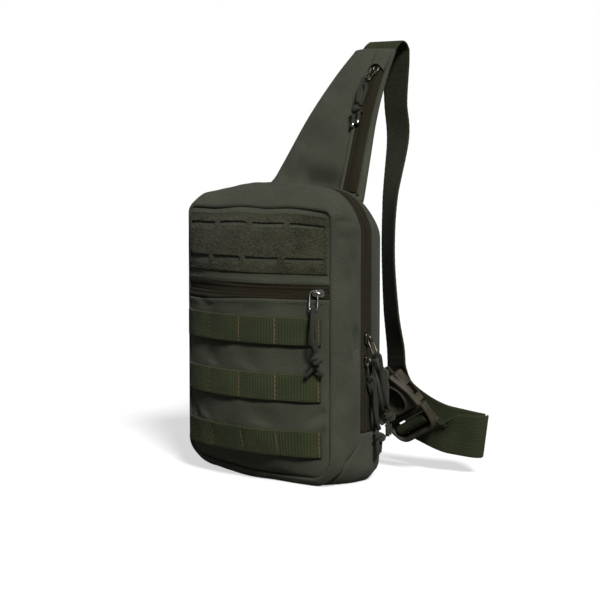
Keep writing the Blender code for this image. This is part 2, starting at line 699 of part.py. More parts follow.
def buckle_plug():
    """The male half: an open frame with the ladder bar, a guide tongue and two springy arms."""
    start, end = MALE_A
    slide = pivot_at("buckle_male_axis", buckle_point(start))
    length, middle = end - start, (start + end) / 2
    male = buckle_block("buckle_male", (length, BUCKLE_WIDTH - 0.001, MALE_THICK), middle,
                        bevel=0.0016, stuff="buckle_plastic", pivot=slide)
    bay = (length - 0.0080, STRAP_WIDTH + 0.002, 0.02)
    combine(male, buckle_block("male_bay", bay, middle + (0.0080 / 2 - MALE_END_BAR), collection=cutters))
    bar_ends = [buckle_point(BAR_A, side * (STRAP_WIDTH / 2 + 0.0025)) for side in (-1, 1)]
    combine(male, rod("ladder_bar", bar_ends[0], bar_ends[1], BAR_RADIUS), "UNION")
    combine(male, buckle_block("male_guide", GUIDE_SIZE, start - 0.0085, collection=cutters), "UNION")
    for side, name in ((-1, "left"), (1, "right")):
        arm_axis = pivot_at(f"buckle_arm_{name}_axis", buckle_point(start - 0.0008, side * 0.0170), slide)
        beam = buckle_block(f"buckle_arm_{name}", ARM_SIZE, start - 0.0068, side * 0.0165,
                            bevel=0.0006, stuff="buckle_plastic", pivot=arm_axis)
        button = buckle_block(f"arm_button_{name}", BUTTON_SIZE, WINDOW_A, side * 0.0190, bevel=0.0010,
                              collection=cutters)
        combine(beam, button, "UNION")
    return slide


def rod(name, start, end, radius):
    """A closed round bar between two points, used to build up other pieces."""
    made = bmesh.new()
    bmesh.ops.create_cone(made, cap_ends=True, segments=12, radius1=radius, radius2=radius,
                          depth=(end - start).length)
    mesh = bpy.data.meshes.new(name)
    made.to_mesh(mesh)
    made.free()
    turn = (end - start).to_track_quat("Z", "Y").to_matrix().to_4x4()
    mesh.transform(Matrix.Translation((start + end) / 2) @ turn)
    return add(name, mesh, None, collection=cutters)


def adjuster_run(slide):
    """The strap's free run: from the fold to the ladder bar, round it, and back as the tail."""
    wrap = BAR_RADIUS + GAP + WEBBING / 2 + 0.0002
    bar = buckle_point(BAR_A)
    bar_across = BUCKLE_N.cross(BUCKLE_A)
    end_centre, end_across = [Vector(v) for v in STRAP_ROUTE[-1]]
    fold_across = end_across.normalized()
    keys = [
        (end_centre + Vector((0.0035, -0.0010, -0.0004)), fold_across),
        (end_centre + Vector((0.0050, -0.0055, -0.0006)), fold_across),
        (end_centre + Vector((-0.0010, -0.0105, -0.0004)), fold_across),
        (end_centre + Vector((-0.0140, -0.0150, 0.0005)), Vector((0.22, -0.03, 0.97))),
        (bar + BUCKLE_A * 0.0290 - BUCKLE_N * 0.0035 + bar_across * 0.0120,
         bar_across * 0.5 + Vector((0, 0, 0.7))),
        (bar + BUCKLE_A * 0.0200 + BUCKLE_N * 0.0040 + bar_across * 0.0030, bar_across),
    ]
    over_end_bar = [(0.0135, 0.0060), (0.0092, 0.0057), (0.0068, 0.0053), (0.0040, 0.0044)]
    keys += [(bar + BUCKLE_A * a + BUCKLE_N * n, bar_across) for a, n in over_end_bar]
    for k in range(7):
        angle = pi / 2 + pi * k / 6
        keys.append((bar + BUCKLE_A * cos(angle) * wrap + BUCKLE_N * sin(angle) * wrap, bar_across))
    keys += [(bar + BUCKLE_A * a - BUCKLE_N * n, bar_across) for a, n in reversed(over_end_bar)]
    keys.append((bar + BUCKLE_A * 0.0200 - BUCKLE_N * 0.0060, bar_across))
    centres, across = zip(*smooth_pairs(keys, 0.0022))
    ribbon("strap_adjuster_run", centres, across, STRAP_WIDTH, WEBBING, "webbing", slide)


def buckle_wing():
    """The fabric wing at the rear seam, and the webbing that holds the buckle to it."""
    inner, outer = WING_X
    low, high = WING_Z
    near, far = BACK_Y + 0.0008, BACK_Y + 0.0032
    taper = 0.007
    rings = []
    for x, cut in ((inner, 0.0), (outer, taper)):
        rings.append([Vector((x, near, low + cut)), Vector((x, near, high - cut)),
                      Vector((x, far, high - cut)), Vector((x, far, low + cut))])
    loft("buckle_wing", rings, "pack_cloth")
    eye = buckle_point(FEMALE_A[0] - GAP)
    across = BUCKLE_N.cross(BUCKLE_A)
    centres = [eye - BUCKLE_A * (BUCKLE_TAB * k / 3) for k in range(4)]
    ribbon("buckle_webbing", centres, [across] * 4, STRAP_WIDTH - 0.0010, WEBBING, "webbing")


# ---- zip sliders, ring pulls and cords ----------------------------------------------------
def slider(name, place, travel, out, stuff, pivot):
    """A zip slider on the coil: the outer plate with the crown that holds its ring."""
    facing = frame_of(travel, out)
    out = facing.col[2]
    foot = GAP + SLIDER_PLATE[2]
    plate = block(name, SLIDER_PLATE, place + out * (GAP + SLIDER_PLATE[2] / 2), facing, 0.0007, stuff, pivot)
    crown = block(name + "_crown", SLIDER_CROWN, place + out * (foot + 0.0020), facing, collection=cutters)
    combine(plate, crown, "UNION")
    eye_at = place + out * (foot + SLIDER_EYE)
    combine(plate, block(name + "_eye", SLIDER_EYE_SIZE, eye_at, facing, collection=cutters))
    return eye_at


def ring_points(top, down, side):
    """The wire's centre line: two straight sides and two round ends."""
    r = RING_WIDTH / 2 - RING_WIRE
    length = RING_LENGTH - 2 * RING_WIRE
    points = []
    for centre, start in ((top + down * r, pi / 2), (top + down * (length - r), -pi / 2)):
        for k in range(7):
            angle = start - pi / 2 + pi * k / 6
            points.append(centre + side * (r * cos(angle)) - down * (r * sin(angle)))
    return points


def knot(name, centre, tails, pivot):
    """An overhand knot's lump, with the cord's tails coming out of it."""
    made = bmesh.new()
    bmesh.ops.create_uvsphere(made, u_segments=12, v_segments=8, radius=KNOT_RADIUS)
    mesh = bpy.data.meshes.new(name)
    made.to_mesh(mesh)
    made.free()
    stretch = Matrix.Diagonal((1.0, 0.92, KNOT_STRETCH, 1.0))
    mesh.transform(Matrix.Translation(centre) @ stretch)
    obj = add(name, mesh, "cord", pivot)
    for k, end in enumerate(tails):
        stub = rod(f"{name}_tail_{k}", centre.lerp(end, 0.1), end, CORD_RADIUS)
        combine(obj, stub, "UNION")
    return obj


def pull(name, eye, down, side, hinge_at, route, knot_at, tails, stuff, parent):
    """A ring on a slider's crown with its cord: the ring, the cord's loop and the knot."""
    pivot = pivot_at(name + "_axis", hinge_at, parent)
    tube(name + "_ring", ring_points(eye, down, side), RING_WIRE, stuff, pivot, closed=True)
    tube(name + "_cord", smooth(route, CORD_STEP), CORD_RADIUS, "cord", pivot)
    knot(name + "_knot", knot_at, tails, pivot)
    return pivot


def cord_loop(low_wire, hang, through, knot_at, lean, spread):
    """The cord's route: from the knot up one leg, through the ring and down the other leg."""
    turn = RING_WIRE + CORD_RADIUS + 0.0011
    down = (knot_at - low_wire).normalized()
    out = (through - through.dot(down) * down).normalized()
    side = down.cross(out)
    reach = (knot_at - low_wire).length - KNOT_RADIUS * KNOT_STRETCH - KNOT_GAP
    legs = []
    for s in (1, -1):
        wide, apart = out * s * turn, side * s * spread
        leg = [low_wire + through * s * turn + hang * 0.0016,
               low_wire + wide * 1.05 + apart * 0.45 + lean * 0.7 + down * reach * 0.22,
               low_wire + wide * 0.85 + apart + lean + down * reach * 0.52,
               low_wire + wide * 0.75 + apart * 0.85 + lean + down * reach * 0.78,
               low_wire + out * s * CORD_RADIUS * 1.15 + apart * 0.15 + down * reach]
        legs.append(leg)
    top = [low_wire + through * turn * cos(a * pi) - hang * turn * sin(a * pi)
           for a in (0.1, 0.3, 0.5, 0.7, 0.9)]
    return list(reversed(legs[0])) + top + legs[1]


def main_pulls():
    """Both main sliders are parked above the zip's right-hand end."""
    surface = section(ZIP_Y[1])[0]
    for name, z, tilt, knot_at, tails, spread in MAIN_PULLS:
        place = Vector((surface, ZIP_Y[1], z))
        axis = pivot_at(f"main_slider_{name}_axis", place)
        eye = slider(f"main_slider_{name}", place, (0, 0, 1), (1, 0, 0), "dark_metal", axis)
        down = Vector((sin(tilt), 0, -cos(tilt)))
        low_wire = eye + down * (RING_LENGTH - 2 * RING_WIRE)
        through = Vector((cos(tilt), 0, sin(tilt)))
        route = cord_loop(low_wire, down, through, Vector(knot_at), Vector((0, 0, 0)), spread)
        pull(f"main_pull_{name}", eye, down, Vector((0, 1, 0)), eye, route, Vector(knot_at),
             [Vector(t) for t in tails], "dark_metal", axis)


def front_pull():
    """The pocket's slider is parked at the right; its ring hangs by one side from the crown."""
    x, z = FRONT_SLIDER_X, POCKET_ZIP_Z[1]
    normal = front_normal(x, z)
    tangent = Vector((1, -normal.x / normal.y, 0)).normalized()
    arc_centre = Vector((0, front_arc_centre(), z))
    place = Vector((x, front_y(x, z), z)) - normal * 0.0004
    axis = pivot_at("front_slider_axis", arc_centre, front_hinge)
    eye = slider("front_slider", place, tangent, normal, "silver_metal", axis)
    tilt = FRONT_PULL_TILT
    down = Vector((0, 0, -1)) * cos(tilt) + normal * sin(tilt)
    down.normalize()
    r = RING_WIDTH / 2 - RING_WIRE
    above = 0.0025
    top = eye - down * above - tangent * sqrt(r ** 2 - (r - above) ** 2)
    low_wire = top + down * (RING_LENGTH - 2 * RING_WIRE)
    beside, kz, knot_lift = FRONT_KNOT
    kx = x + beside
    knot_at = Vector((kx, front_y(kx, kz), kz)) + front_normal(kx, kz) * knot_lift
    tails = []
    for dx, dz in FRONT_TAILS:
        end = Vector((kx + dx, front_y(kx + dx, kz + dz), kz + dz))
        tails.append(end + front_normal(kx + dx, kz + dz) * FRONT_TAIL_LIFT)
    through = normal * cos(tilt) + Vector((0, 0, 1)) * sin(tilt)
    route = cord_loop(low_wire, down, through, knot_at, normal * 0.0056, 0.0030)
    pull("front_pull", top, down, tangent, eye, route, knot_at, tails, "silver_metal", axis)


def front_arc_centre():
    """Depth of the centre of the circle that the front panel nearly follows across."""
    half = section(SEAM_Y)[0]
    radius = (half ** 2 + FRONT_BULGE ** 2) / (2 * FRONT_BULGE)
    return SEAM_Y - FRONT_BULGE + radius


def wedge_pull():
    """The wedge's slider is parked at the top of its zip, under the little fabric garage."""
    t = WEDGE_SLIDER_T
    u = wedge_zip_u(t)
    _, tangent, normal = wedge_at(t)
    place = wedge_surface(t, u, WEDGE_COIL_LIFT)
    axis = pivot_at("wedge_slider_axis", place)
    eye = slider("wedge_slider", place, tangent, normal, "dark_metal", axis)
    tilt = WEDGE_PULL_TILT
    down = (-tangent * cos(tilt) + normal * sin(tilt)).normalized()
    low_wire = eye + down * (RING_LENGTH - 2 * RING_WIRE)
    knot_at = wedge_surface(*WEDGE_KNOT)
    through = (normal * cos(tilt) + tangent * sin(tilt)).normalized()
    route = cord_loop(low_wire, down, through, knot_at, Vector((0, 0, 0)), 0.0022)
    tails = [wedge_surface(*tail) for tail in WEDGE_TAILS]
    pull("wedge_pull", eye, down, Vector((1, 0, 0)), eye, route, knot_at, tails, "dark_metal", axis)


back_shell()
main_zip()
front_shell()
loop_panel()
molle_rows()
shoulder_wedge()
strap()
buckle_socket()
male_axis = buckle_plug()
adjuster_run(male_axis)
buckle_wing()
main_pulls()
front_pull()
wedge_pull()
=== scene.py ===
"""Looks of the sling bag: cloth, webbing, zips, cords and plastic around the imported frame.

Metres, +Z up, front face towards -Y, in the frame's own axes.
"""
import bpy
import bmesh
import json
from math import cos, exp, floor, pi, radians, sin, sqrt
from mathutils import Matrix, Vector, noise


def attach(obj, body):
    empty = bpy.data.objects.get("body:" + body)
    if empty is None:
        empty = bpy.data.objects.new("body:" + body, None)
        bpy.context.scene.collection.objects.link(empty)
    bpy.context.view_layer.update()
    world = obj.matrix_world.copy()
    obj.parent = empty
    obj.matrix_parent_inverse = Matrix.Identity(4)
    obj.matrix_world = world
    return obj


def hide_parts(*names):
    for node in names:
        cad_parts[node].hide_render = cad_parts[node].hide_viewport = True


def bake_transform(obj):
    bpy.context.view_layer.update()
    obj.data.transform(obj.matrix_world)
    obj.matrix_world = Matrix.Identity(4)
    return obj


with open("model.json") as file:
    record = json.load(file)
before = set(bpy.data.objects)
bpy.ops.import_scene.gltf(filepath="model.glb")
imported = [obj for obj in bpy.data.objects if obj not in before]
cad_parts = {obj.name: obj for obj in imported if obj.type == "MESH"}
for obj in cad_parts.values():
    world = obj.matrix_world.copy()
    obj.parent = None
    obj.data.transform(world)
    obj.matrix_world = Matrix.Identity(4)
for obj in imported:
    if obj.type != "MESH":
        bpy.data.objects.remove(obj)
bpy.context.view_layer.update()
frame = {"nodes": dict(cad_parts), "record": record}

# ---- dimensions, as the design has them ----------------------------------------------------
GAP = 0.0003
BAG_MIDDLE = (0, 0, 0.13)
SECTIONS = [                 # y, half width, base, top, top and bottom corner radii
    (-0.034, 0.0825, 0.0055, 0.2500, 0.008, 0.024),
    (-0.023, 0.0860, 0.0000, 0.2590, 0.020, 0.026),
    (0.000, 0.0885, 0.0000, 0.2655, 0.034, 0.018),
    (0.020, 0.0885, 0.0000, 0.2640, 0.036, 0.014),
    (0.036, 0.0845, 0.0030, 0.2520, 0.032, 0.014),
]
SEAM_Y, BACK_Y = SECTIONS[0][0], SECTIONS[-1][0]
FRONT_BULGE = 0.024
ZIP_END_Z = 0.046
ZIP_Y = (0.0010, 0.0100, 0.0195)           # front edge, coil line and rear edge of the main zip
ROUND_TOP = [1 - 2 * k / 230 for k in range(231)]
POCKET_ZIP_Z = (0.1680, 0.1745, 0.1820)    # lower edge, coil line, upper edge
LOOP_PANEL_Z = (0.1905, 0.2435)
LOOP_HALF_WIDTH = 0.0785
SLOT_ROWS_Z = (0.2030, 0.2330)
SLOTS_PER_ROW = 4
SLOT_HALF_HEIGHT = 0.0019
SLOT_BRIDGE = 0.0060
MOLLE_WIDTH, MOLLE_PITCH = 0.025, 0.050
MOLLE_FIRST_Z = 0.028
MOLLE_X = (-0.0785, 0.0745)
MOLLE_CELLS = 4
MOLLE_RISE = 0.0012
WEBBING_THICK = 0.0018
TAPE_THICK = 0.0006

WEDGE_LINE = [
    (0.001, 0.0475, 0.2545), (0.002, 0.0540, 0.2670), (0.003, 0.0670, 0.2900),
    (0.005, 0.0890, 0.3290), (0.007, 0.1160, 0.3660), (0.009, 0.1425, 0.3955),
]
WEDGE_HALF_WIDTH = (0.0570, 0.0205)
WEDGE_HALF_THICK = (0.0085, 0.0030)

STRAP_WIDTH = 0.040
STRAP_START = ((0.0088, 0.1405, 0.3935), (1.00, 0.00, 0.00))
STRAP_ROUTE = [              # centre line and the direction of the width
    ((0.0095, 0.1475, 0.4008), (1.00, 0.00, 0.00)),
    ((0.0100, 0.1560, 0.4050), (1.00, -0.05, 0.00)),
    ((0.0105, 0.1650, 0.4010), (0.99, -0.12, 0.00)),
    ((0.0110, 0.1695, 0.3880), (0.97, -0.22, 0.00)),
    ((0.0140, 0.1660, 0.3450), (0.92, -0.39, 0.00)),
    ((0.0240, 0.1550, 0.3080), (0.89, -0.45, 0.00)),
    ((0.0370, 0.1230, 0.2500), (0.78, -0.63, 0.00)),
    ((0.0510, 0.0995, 0.2000), (0.76, -0.65, 0.00)),
    ((0.0635, 0.0860, 0.1500), (0.80, -0.60, 0.00)),
    ((0.0700, 0.0845, 0.1150), (0.84, -0.54, 0.10)),
    ((0.0725, 0.0840, 0.0930), (0.80, -0.50, 0.35)),
    ((0.0790, 0.0860, 0.0730), (0.60, -0.35, 0.70)),
    ((0.0934, 0.0900, 0.0560), (0.35, -0.15, 0.92)),
    ((0.1128, 0.0950, 0.0450), (0.15, -0.05, 0.98)),
    ((0.1340, 0.1015, 0.0400), (0.12, 0.02, 0.99)),
    ((0.1520, 0.1070, 0.0370), (0.12, 0.03, 0.99)),
]
BUCKLE_CENTRE = Vector((0.0922, 0.0610, 0.0650))
BUCKLE_A = Vector((0.501, 0.382, -0.780)).normalized()     # along the buckle, towards the strap
BUCKLE_N = Vector((0.021, -0.900, -0.430)).normalized()    # out of its front
BUCKLE_W = BUCKLE_N.cross(BUCKLE_A)
BUCKLE_THICK = 0.0115
SOCKET_END = -0.0290
BAR_A, BAR_RADIUS = 0.0205, 0.0019
COVER_A = (-0.0300, 0.0062)
RECESS = (-0.0100, 0.0035, 0.0135)         # along the buckle, across it, radius

RING_WIDTH, RING_LENGTH, RING_WIRE = 0.0085, 0.0190, 0.00065
CORD_RADIUS = 0.0017
KNOT_RADIUS = 0.0056
SLIDER_EYE = 0.00140
SLIDER_FOOT = GAP + 0.0020
FRONT_SLIDER_X = 0.0720
FRONT_KNOT = (0.0005, 0.1165, 0.0122)      # right of the slider, height, off the cloth
FRONT_TAILS = ((-0.0075, -0.0130), (0.0030, -0.0125))
WEDGE_SLIDER_T = 0.800
WEDGE_KNOT = (0.505, 0.0240, 0.0078)
WEDGE_TAILS = ((0.440, 0.0285, 0.0060), (0.420, 0.0240, 0.0056))
MAIN_PULLS = [               # name, slider height, ring tilt, knot, tail ends, spread of the cord's legs
    ("upper", 0.1310, 26, (0.0990, 0.0315, 0.0590), ((0.0985, 0.0330, 0.0440), (0.0995, 0.0280, 0.0430)), 0.0050),
    ("lower", 0.1105, 7, (0.0975, 0.0180, 0.0420), ((0.0970, 0.0200, 0.0290), (0.0980, 0.0150, 0.0280)), 0.0045),
]
WING_X = (0.0852, 0.0935)
WING_Z = (0.0580, 0.1060)

# The hinge at the base's front edge, with the bodies on either side of it and a point on each side; pieces given
# it are baked in place and ride on no body.
HINGE = Vector((0.0, SEAM_Y, SECTIONS[0][2]))
FLEX = Vector((0.0, 0.72, -0.69))
FLEXING = ("front_shell", "back_shell", HINGE + FLEX * -0.003, HINGE + FLEX * 0.0125)


# ---- camera, floor and light ---------------------------------------------------------------
def linked(name, data):
    obj = bpy.data.objects.new(name, data)
    bpy.context.scene.collection.objects.link(obj)
    return obj


def camera():
    """The view over the right-hand front corner, a little from above."""
    azimuth, elevation, distance = radians(37.3), radians(5.3), 1.5
    target = Vector((0.0117, 0.0126, 0.1614))
    back = Vector((sin(azimuth) * cos(elevation), -cos(azimuth) * cos(elevation), sin(elevation)))
    data = bpy.data.cameras.new("camera")
    data.lens = 97.3
    data.sensor_width = 36.0
    obj = linked("camera", data)
    obj.location = target + back * distance
    obj.rotation_euler = (-back).to_track_quat("-Z", "Y").to_euler()
    bpy.context.scene.camera = obj


def seen_or_lit(tree, seen, lit, output):
    """Camera rays meet `seen`, and all other rays meet `lit`."""
    rays = tree.nodes.new("ShaderNodeLightPath")
    mix = tree.nodes.new("ShaderNodeMixShader")
    tree.links.new(rays.outputs["Is Camera Ray"], mix.inputs[0])
    tree.links.new(lit.outputs[0], mix.inputs[1])
    tree.links.new(seen.outputs[0], mix.inputs[2])
    tree.links.new(mix.outputs[0], tree.nodes[output].inputs["Surface"])


def set_inputs(node, **values):
    for key, value in values.items():
        node.inputs[key.replace("_", " ")].default_value = value
    return node


def floor_paper():
    """White paper that the camera sees evenly lit, and that throws little light back up."""
    paper = bpy.data.materials.new("floor_paper")
    paper.use_nodes = True
    tree = paper.node_tree
    white = (1.0, 1.0, 1.0, 1.0)
    seen = set_inputs(tree.nodes["Principled BSDF"], Base_Color=(0.34, 0.34, 0.34, 1.0), Roughness=0.9,
                      Specular_IOR_Level=0.0, Emission_Color=white, Emission_Strength=0.62)
    lit = set_inputs(tree.nodes.new("ShaderNodeBsdfDiffuse"), Color=(0.16, 0.16, 0.15, 1.0))
    seen_or_lit(tree, seen, lit, "Material Output")
    return paper


def studio():
    """White surroundings that light the bag softly, and a broad key light from the right."""
    world = bpy.data.worlds.new("studio")
    world.use_nodes = True
    tree = world.node_tree
    white = (1.0, 1.0, 1.0, 1.0)
    lit = set_inputs(tree.nodes["Background"], Color=white, Strength=0.155)
    seen = set_inputs(tree.nodes.new("ShaderNodeBackground"), Color=white, Strength=1.0)
    seen_or_lit(tree, seen, lit, "World Output")
    bpy.context.scene.world = world
    bpy.context.scene.view_settings.view_transform = "Standard"
    made = bmesh.new()
    bmesh.ops.create_grid(made, x_segments=1, y_segments=1, size=6.0)
    mesh = bpy.data.meshes.new("floor")
    made.to_mesh(mesh)
    made.free()
    floor = linked("floor", mesh)
    floor.location = (0, 0, -0.0003)
    mesh.materials.append(floor_paper())
    data = bpy.data.lights.new("key", "SUN")
    data.energy = 5.6
    data.angle = radians(12)
    linked("key", data).rotation_euler = Vector((0.62, -0.465, 0.63)).to_track_quat("Z", "Y").to_euler()


# ---- materials -----------------------------------------------------------------------------
class Finish:
    """A principled material, with short calls that add nodes to it and link them."""

    def __init__(self, name, colour, roughness, shine, sheen=0.0, metallic=0.0):
        self.material = bpy.data.materials.new(name)
        self.material.use_nodes = True
        self.tree = self.material.node_tree
        self.shader = set_inputs(self.tree.nodes["Principled BSDF"], Base_Color=(*colour, 1.0), Metallic=metallic,
                                 Roughness=roughness, Specular_IOR_Level=shine, Sheen_Weight=sheen)
        self.place = self.add("ShaderNodeTexCoord").outputs["Object"]

    def add(self, kind, **inputs):
        node = self.tree.nodes.new(kind)
        for key, value in inputs.items():
            socket = node.inputs[int(key[1:])] if key[0] == "i" and key[1:].isdigit() else node.inputs[key]
            if isinstance(value, bpy.types.NodeSocket):
                self.tree.links.new(value, socket)
            else:
                socket.default_value = value
        return node

    def math(self, operation, a, b=0.0):
        node = self.add("ShaderNodeMath", i0=a, i1=b)
        node.operation = operation
        return node.outputs[0]

    def total(self, *shares):
        """The sum of values, each times its share."""
        parts = [value if share == 1 else self.math("MULTIPLY", value, share) for value, share in shares]
        found = parts[0]
        for part in parts[1:]:
            found = self.math("ADD", found, part)
        return found

    def threads(self):
        """Lengths in metres along the threads and across them."""
        node = self.add("ShaderNodeSeparateXYZ", i0=self.add("ShaderNodeUVMap").outputs[0])
        return node.outputs[0], node.outputs[1]

    def wave(self, value, pitch):
        """sin of a length, one turn each pitch."""
        return self.math("SINE", self.math("MULTIPLY", value, 2 * pi / pitch))

    def noise(self, scale, detail=2.0, roughness=0.5):
        node = self.add("ShaderNodeTexNoise", Vector=self.place, Scale=scale, Detail=detail, Roughness=roughness)
        return node.outputs[0]

    def colour(self, value, low, high, dark, light):
        """Colour from dark to light as value goes from low to high."""
        part = self.add("ShaderNodeMapRange", Value=value)
        part.inputs["From Min"].default_value = low
        part.inputs["From Max"].default_value = high
        mix = self.tree.nodes.new("ShaderNodeMix")
        mix.data_type = "RGBA"
        self.tree.links.new(part.outputs[0], mix.inputs["Factor"])
        mix.inputs["A"].default_value = (*dark, 1.0)
        mix.inputs["B"].default_value = (*light, 1.0)
        self.tree.links.new(mix.outputs["Result"], self.shader.inputs["Base Color"])

    def relief(self, height, strength, depth):
        """Bump, which ends a material."""
        node = self.add("ShaderNodeBump", Height=height, Strength=strength, Distance=depth)
        self.tree.links.new(node.outputs[0], self.shader.inputs["Normal"])
        return self.material

    def uneven(self, value, share, roughness):
        """Roughness that varies with value."""
        self.tree.links.new(self.total((value, share), (roughness - 0.1, 1)), self.shader.inputs["Roughness"])


def woven(name, dark, light, pitch, depth, roughness, shine=0.22):
    """Plain-weave cloth with uneven threads and soft patches."""
    f = Finish(name, light, roughness, shine, 0.03)
    u, v = f.threads()
    checks = f.math("MULTIPLY", f.wave(u, pitch * 2), f.wave(v, pitch * 2))
    grid_ = f.total((f.wave(u, pitch), 1), (f.wave(v, pitch), 1))
    height = f.total((checks, 0.55), (grid_, 0.12), (f.noise(620.0), 0.8))
    f.colour(f.total((height, 0.6), (f.noise(24.0, 3.0), 0.6)), 0.05, 0.95, dark, light)
    return f.relief(height, 1.0, depth)


def webbing(name, dark, light, along=0.0017, across=0.0021):
    """Nylon webbing, ribbed along its length and picked across it."""
    f = Finish(name, light, 0.8, 0.12, 0.03)
    u, v = f.threads()
    lean = f.total((u, 1), (f.math("PINGPONG", v, across), 0.8))
    ribs = f.math("ABSOLUTE", f.wave(v, across * 2))
    height = f.total((ribs, 0.5), (f.wave(lean, along), 0.32), (f.noise(1200.0, 1.0), 0.35))
    f.colour(f.total((height, 0.55), (f.noise(40.0), 0.5)), 0.1, 1.0, dark, light)
    return f.relief(height, 0.9, 0.00035)


def pile(name, dark, light):
    """Loop pile: a thick mat of tiny curls."""
    f = Finish(name, light, 0.95, 0.15, 0.05)
    curls = f.add("ShaderNodeTexVoronoi", Vector=f.place, Scale=620.0)
    height = f.total((curls.outputs["Distance"], 1), (f.noise(1700.0, 2.0, 0.7), 1))
    f.colour(f.total((height, 0.5), (f.noise(60.0, 3.0), 0.6)), 0.42, 1.0, dark, light)
    return f.relief(height, 1.0, 0.0007)


def braided(name, dark, light, pitch=0.0016):
    """Braided cord: two sets of strands that cross."""
    f = Finish(name, light, 0.7, 0.3, 0.03)
    u, v = f.threads()
    height = f.math("MULTIPLY", *(f.wave(f.math(way, u, v), pitch) for way in ("ADD", "SUBTRACT")))
    f.colour(height, -0.9, 0.9, dark, light)
    return f.relief(height, 0.9, 0.0004)


def moulded(name, dark, light, roughness, shine):
    """Satin moulded plastic with a fine spark-eroded texture, a painted highlight on its sharp edges and painted
    shade in its hollows.
    """
    f = Finish(name, light, roughness, shine)
    clouds = f.noise(90.0, 3.0)
    # Painted light: from the pointiness, convex edges are made lighter as a highlight and hollows darker as shade.
    edges = f.add("ShaderNodeNewGeometry").outputs["Pointiness"]
    edge_highlight_hollow_shade = f.math("MULTIPLY", f.math("SUBTRACT", edges, 0.5), 3.0)
    f.colour(f.total((clouds, 1), (edge_highlight_hollow_shade, 1)), 0.3, 0.8, dark, light)
    f.uneven(clouds, 0.2, roughness)
    return f.relief(f.noise(1500.0), 0.35, 0.0001)


def metal(name, dark, light, roughness):
    """Plated zinc with fine scratches and dull patches."""
    f = Finish(name, light, roughness, 0.5, metallic=1.0)
    dull = f.noise(260.0, 3.0)
    f.colour(dull, 0.3, 0.75, dark, light)
    f.uneven(dull, 0.25, roughness)
    return f.relief(f.noise(1400.0, 1.0), 0.25, 0.00008)


CLOTH = woven("pack_cloth", (0.0100, 0.0110, 0.0066), (0.051, 0.0545, 0.0360), 0.0011, 0.00040, 0.85)
LINING = woven("lining", (0.012, 0.013, 0.0100), (0.026, 0.028, 0.022), 0.0007, 0.0001, 0.6)
WEBBING = webbing("webbing", (0.0042, 0.0058, 0.0020), (0.043, 0.051, 0.021))
# A darker copy of the webbing for the strap and its buckle runs: painted shade, standing in for the shade the
# strap hangs in.
SHADED_STRAP_WEBBING = webbing("strap_webbing_shaded", (0.0031, 0.0043, 0.0014), (0.033, 0.0395, 0.0155))
PILE = pile("loop_pile", (0.0012, 0.0012, 0.0006), (0.036, 0.035, 0.0195))
TAPE = woven("zip_tape", (0.0045, 0.0038, 0.0020), (0.021, 0.0185, 0.0100), 0.0009, 0.00025, 0.9, shine=0.04)
COIL = moulded("zip_coil", (0.0050, 0.0044, 0.0026), (0.0190, 0.0165, 0.0095), 0.8, 0.10)
PLASTIC = moulded("buckle_plastic", (0.0140, 0.0122, 0.0080), (0.040, 0.034, 0.0230), 0.6, 0.2)
CORD = braided("cord", (0.0018, 0.0021, 0.0012), (0.033, 0.036, 0.0215))
SILVER = metal("silver_metal", (0.22, 0.22, 0.21), (0.46, 0.46, 0.44), 0.26)
GUNMETAL = metal("dark_metal", (0.045, 0.040, 0.030), (0.16, 0.145, 0.115), 0.36)
THREAD = woven("thread", (0.034, 0.024, 0.011), (0.130, 0.088, 0.042), 0.0006, 0.0001, 0.7)
SLOTS = {
    "pack_cloth": CLOTH, "lining": LINING, "webbing": WEBBING, "loop_pile": PILE, "zip_tape": TAPE,
    "buckle_plastic": PLASTIC, "cord": CORD, "silver_metal": SILVER, "dark_metal": GUNMETAL,
}


def finish_cad_nodes():
    """Every carried-over solid takes its slot's procedural finish."""
    slot_of = {s["node"]: s["material_slot"] for s in frame["record"]["subparts"]}
    for name, obj in frame["nodes"].items():
        for place in obj.material_slots:
            place.material = SLOTS[slot_of[name]]


# ---- building pieces -----------------------------------------------------------------------
def place_piece(obj, body, swaps=()):
    """Ride on the named body, or else stay baked in place, and stand for CAD nodes."""
    if isinstance(body, str):
        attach(obj, body)
    else:
        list(body)
        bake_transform(obj)
    if swaps:
        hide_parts(*swaps)


def new_object(name, points, faces, finish, uvs=None):
    mesh = bpy.data.meshes.new(name)
    mesh.from_pydata([tuple(p) for p in points], [], faces)
    mesh.materials.append(finish)
    mesh.polygons.foreach_set("use_smooth", [True] * len(mesh.polygons))
    if uvs:
        layer = mesh.uv_layers.new(name="threads")
        for loop in mesh.loops:
            layer.data[loop.index].uv = uvs[loop.vertex_index]
    return linked(name, mesh)


def grid(rows, columns, point):
    """Rows of points: point(i, j) for each corner of rows x columns cells."""
    return [[point(i, j) for j in range(columns + 1)] for i in range(rows + 1)]


def marks_along(points):
    """The length from the first point to each point."""
    found = [0.0]
    for p, q in zip(points, points[1:]):
        found.append(found[-1] + (q - p).length)
    return found


def thread_uvs(rows):
    """Lengths in metres along each row, from its middle, and down each column."""
    columns = len(rows[0])
    uvs = []
    down = [0.0] * columns
    for i, row in enumerate(rows):
        along = marks_along(row)
        if i:
            down = [d + (p - q).length for d, p, q in zip(down, row, rows[i - 1])]
        mean = sum(down) / columns
        uvs += [(a - along[columns // 2], mean) for a in along]
    return uvs


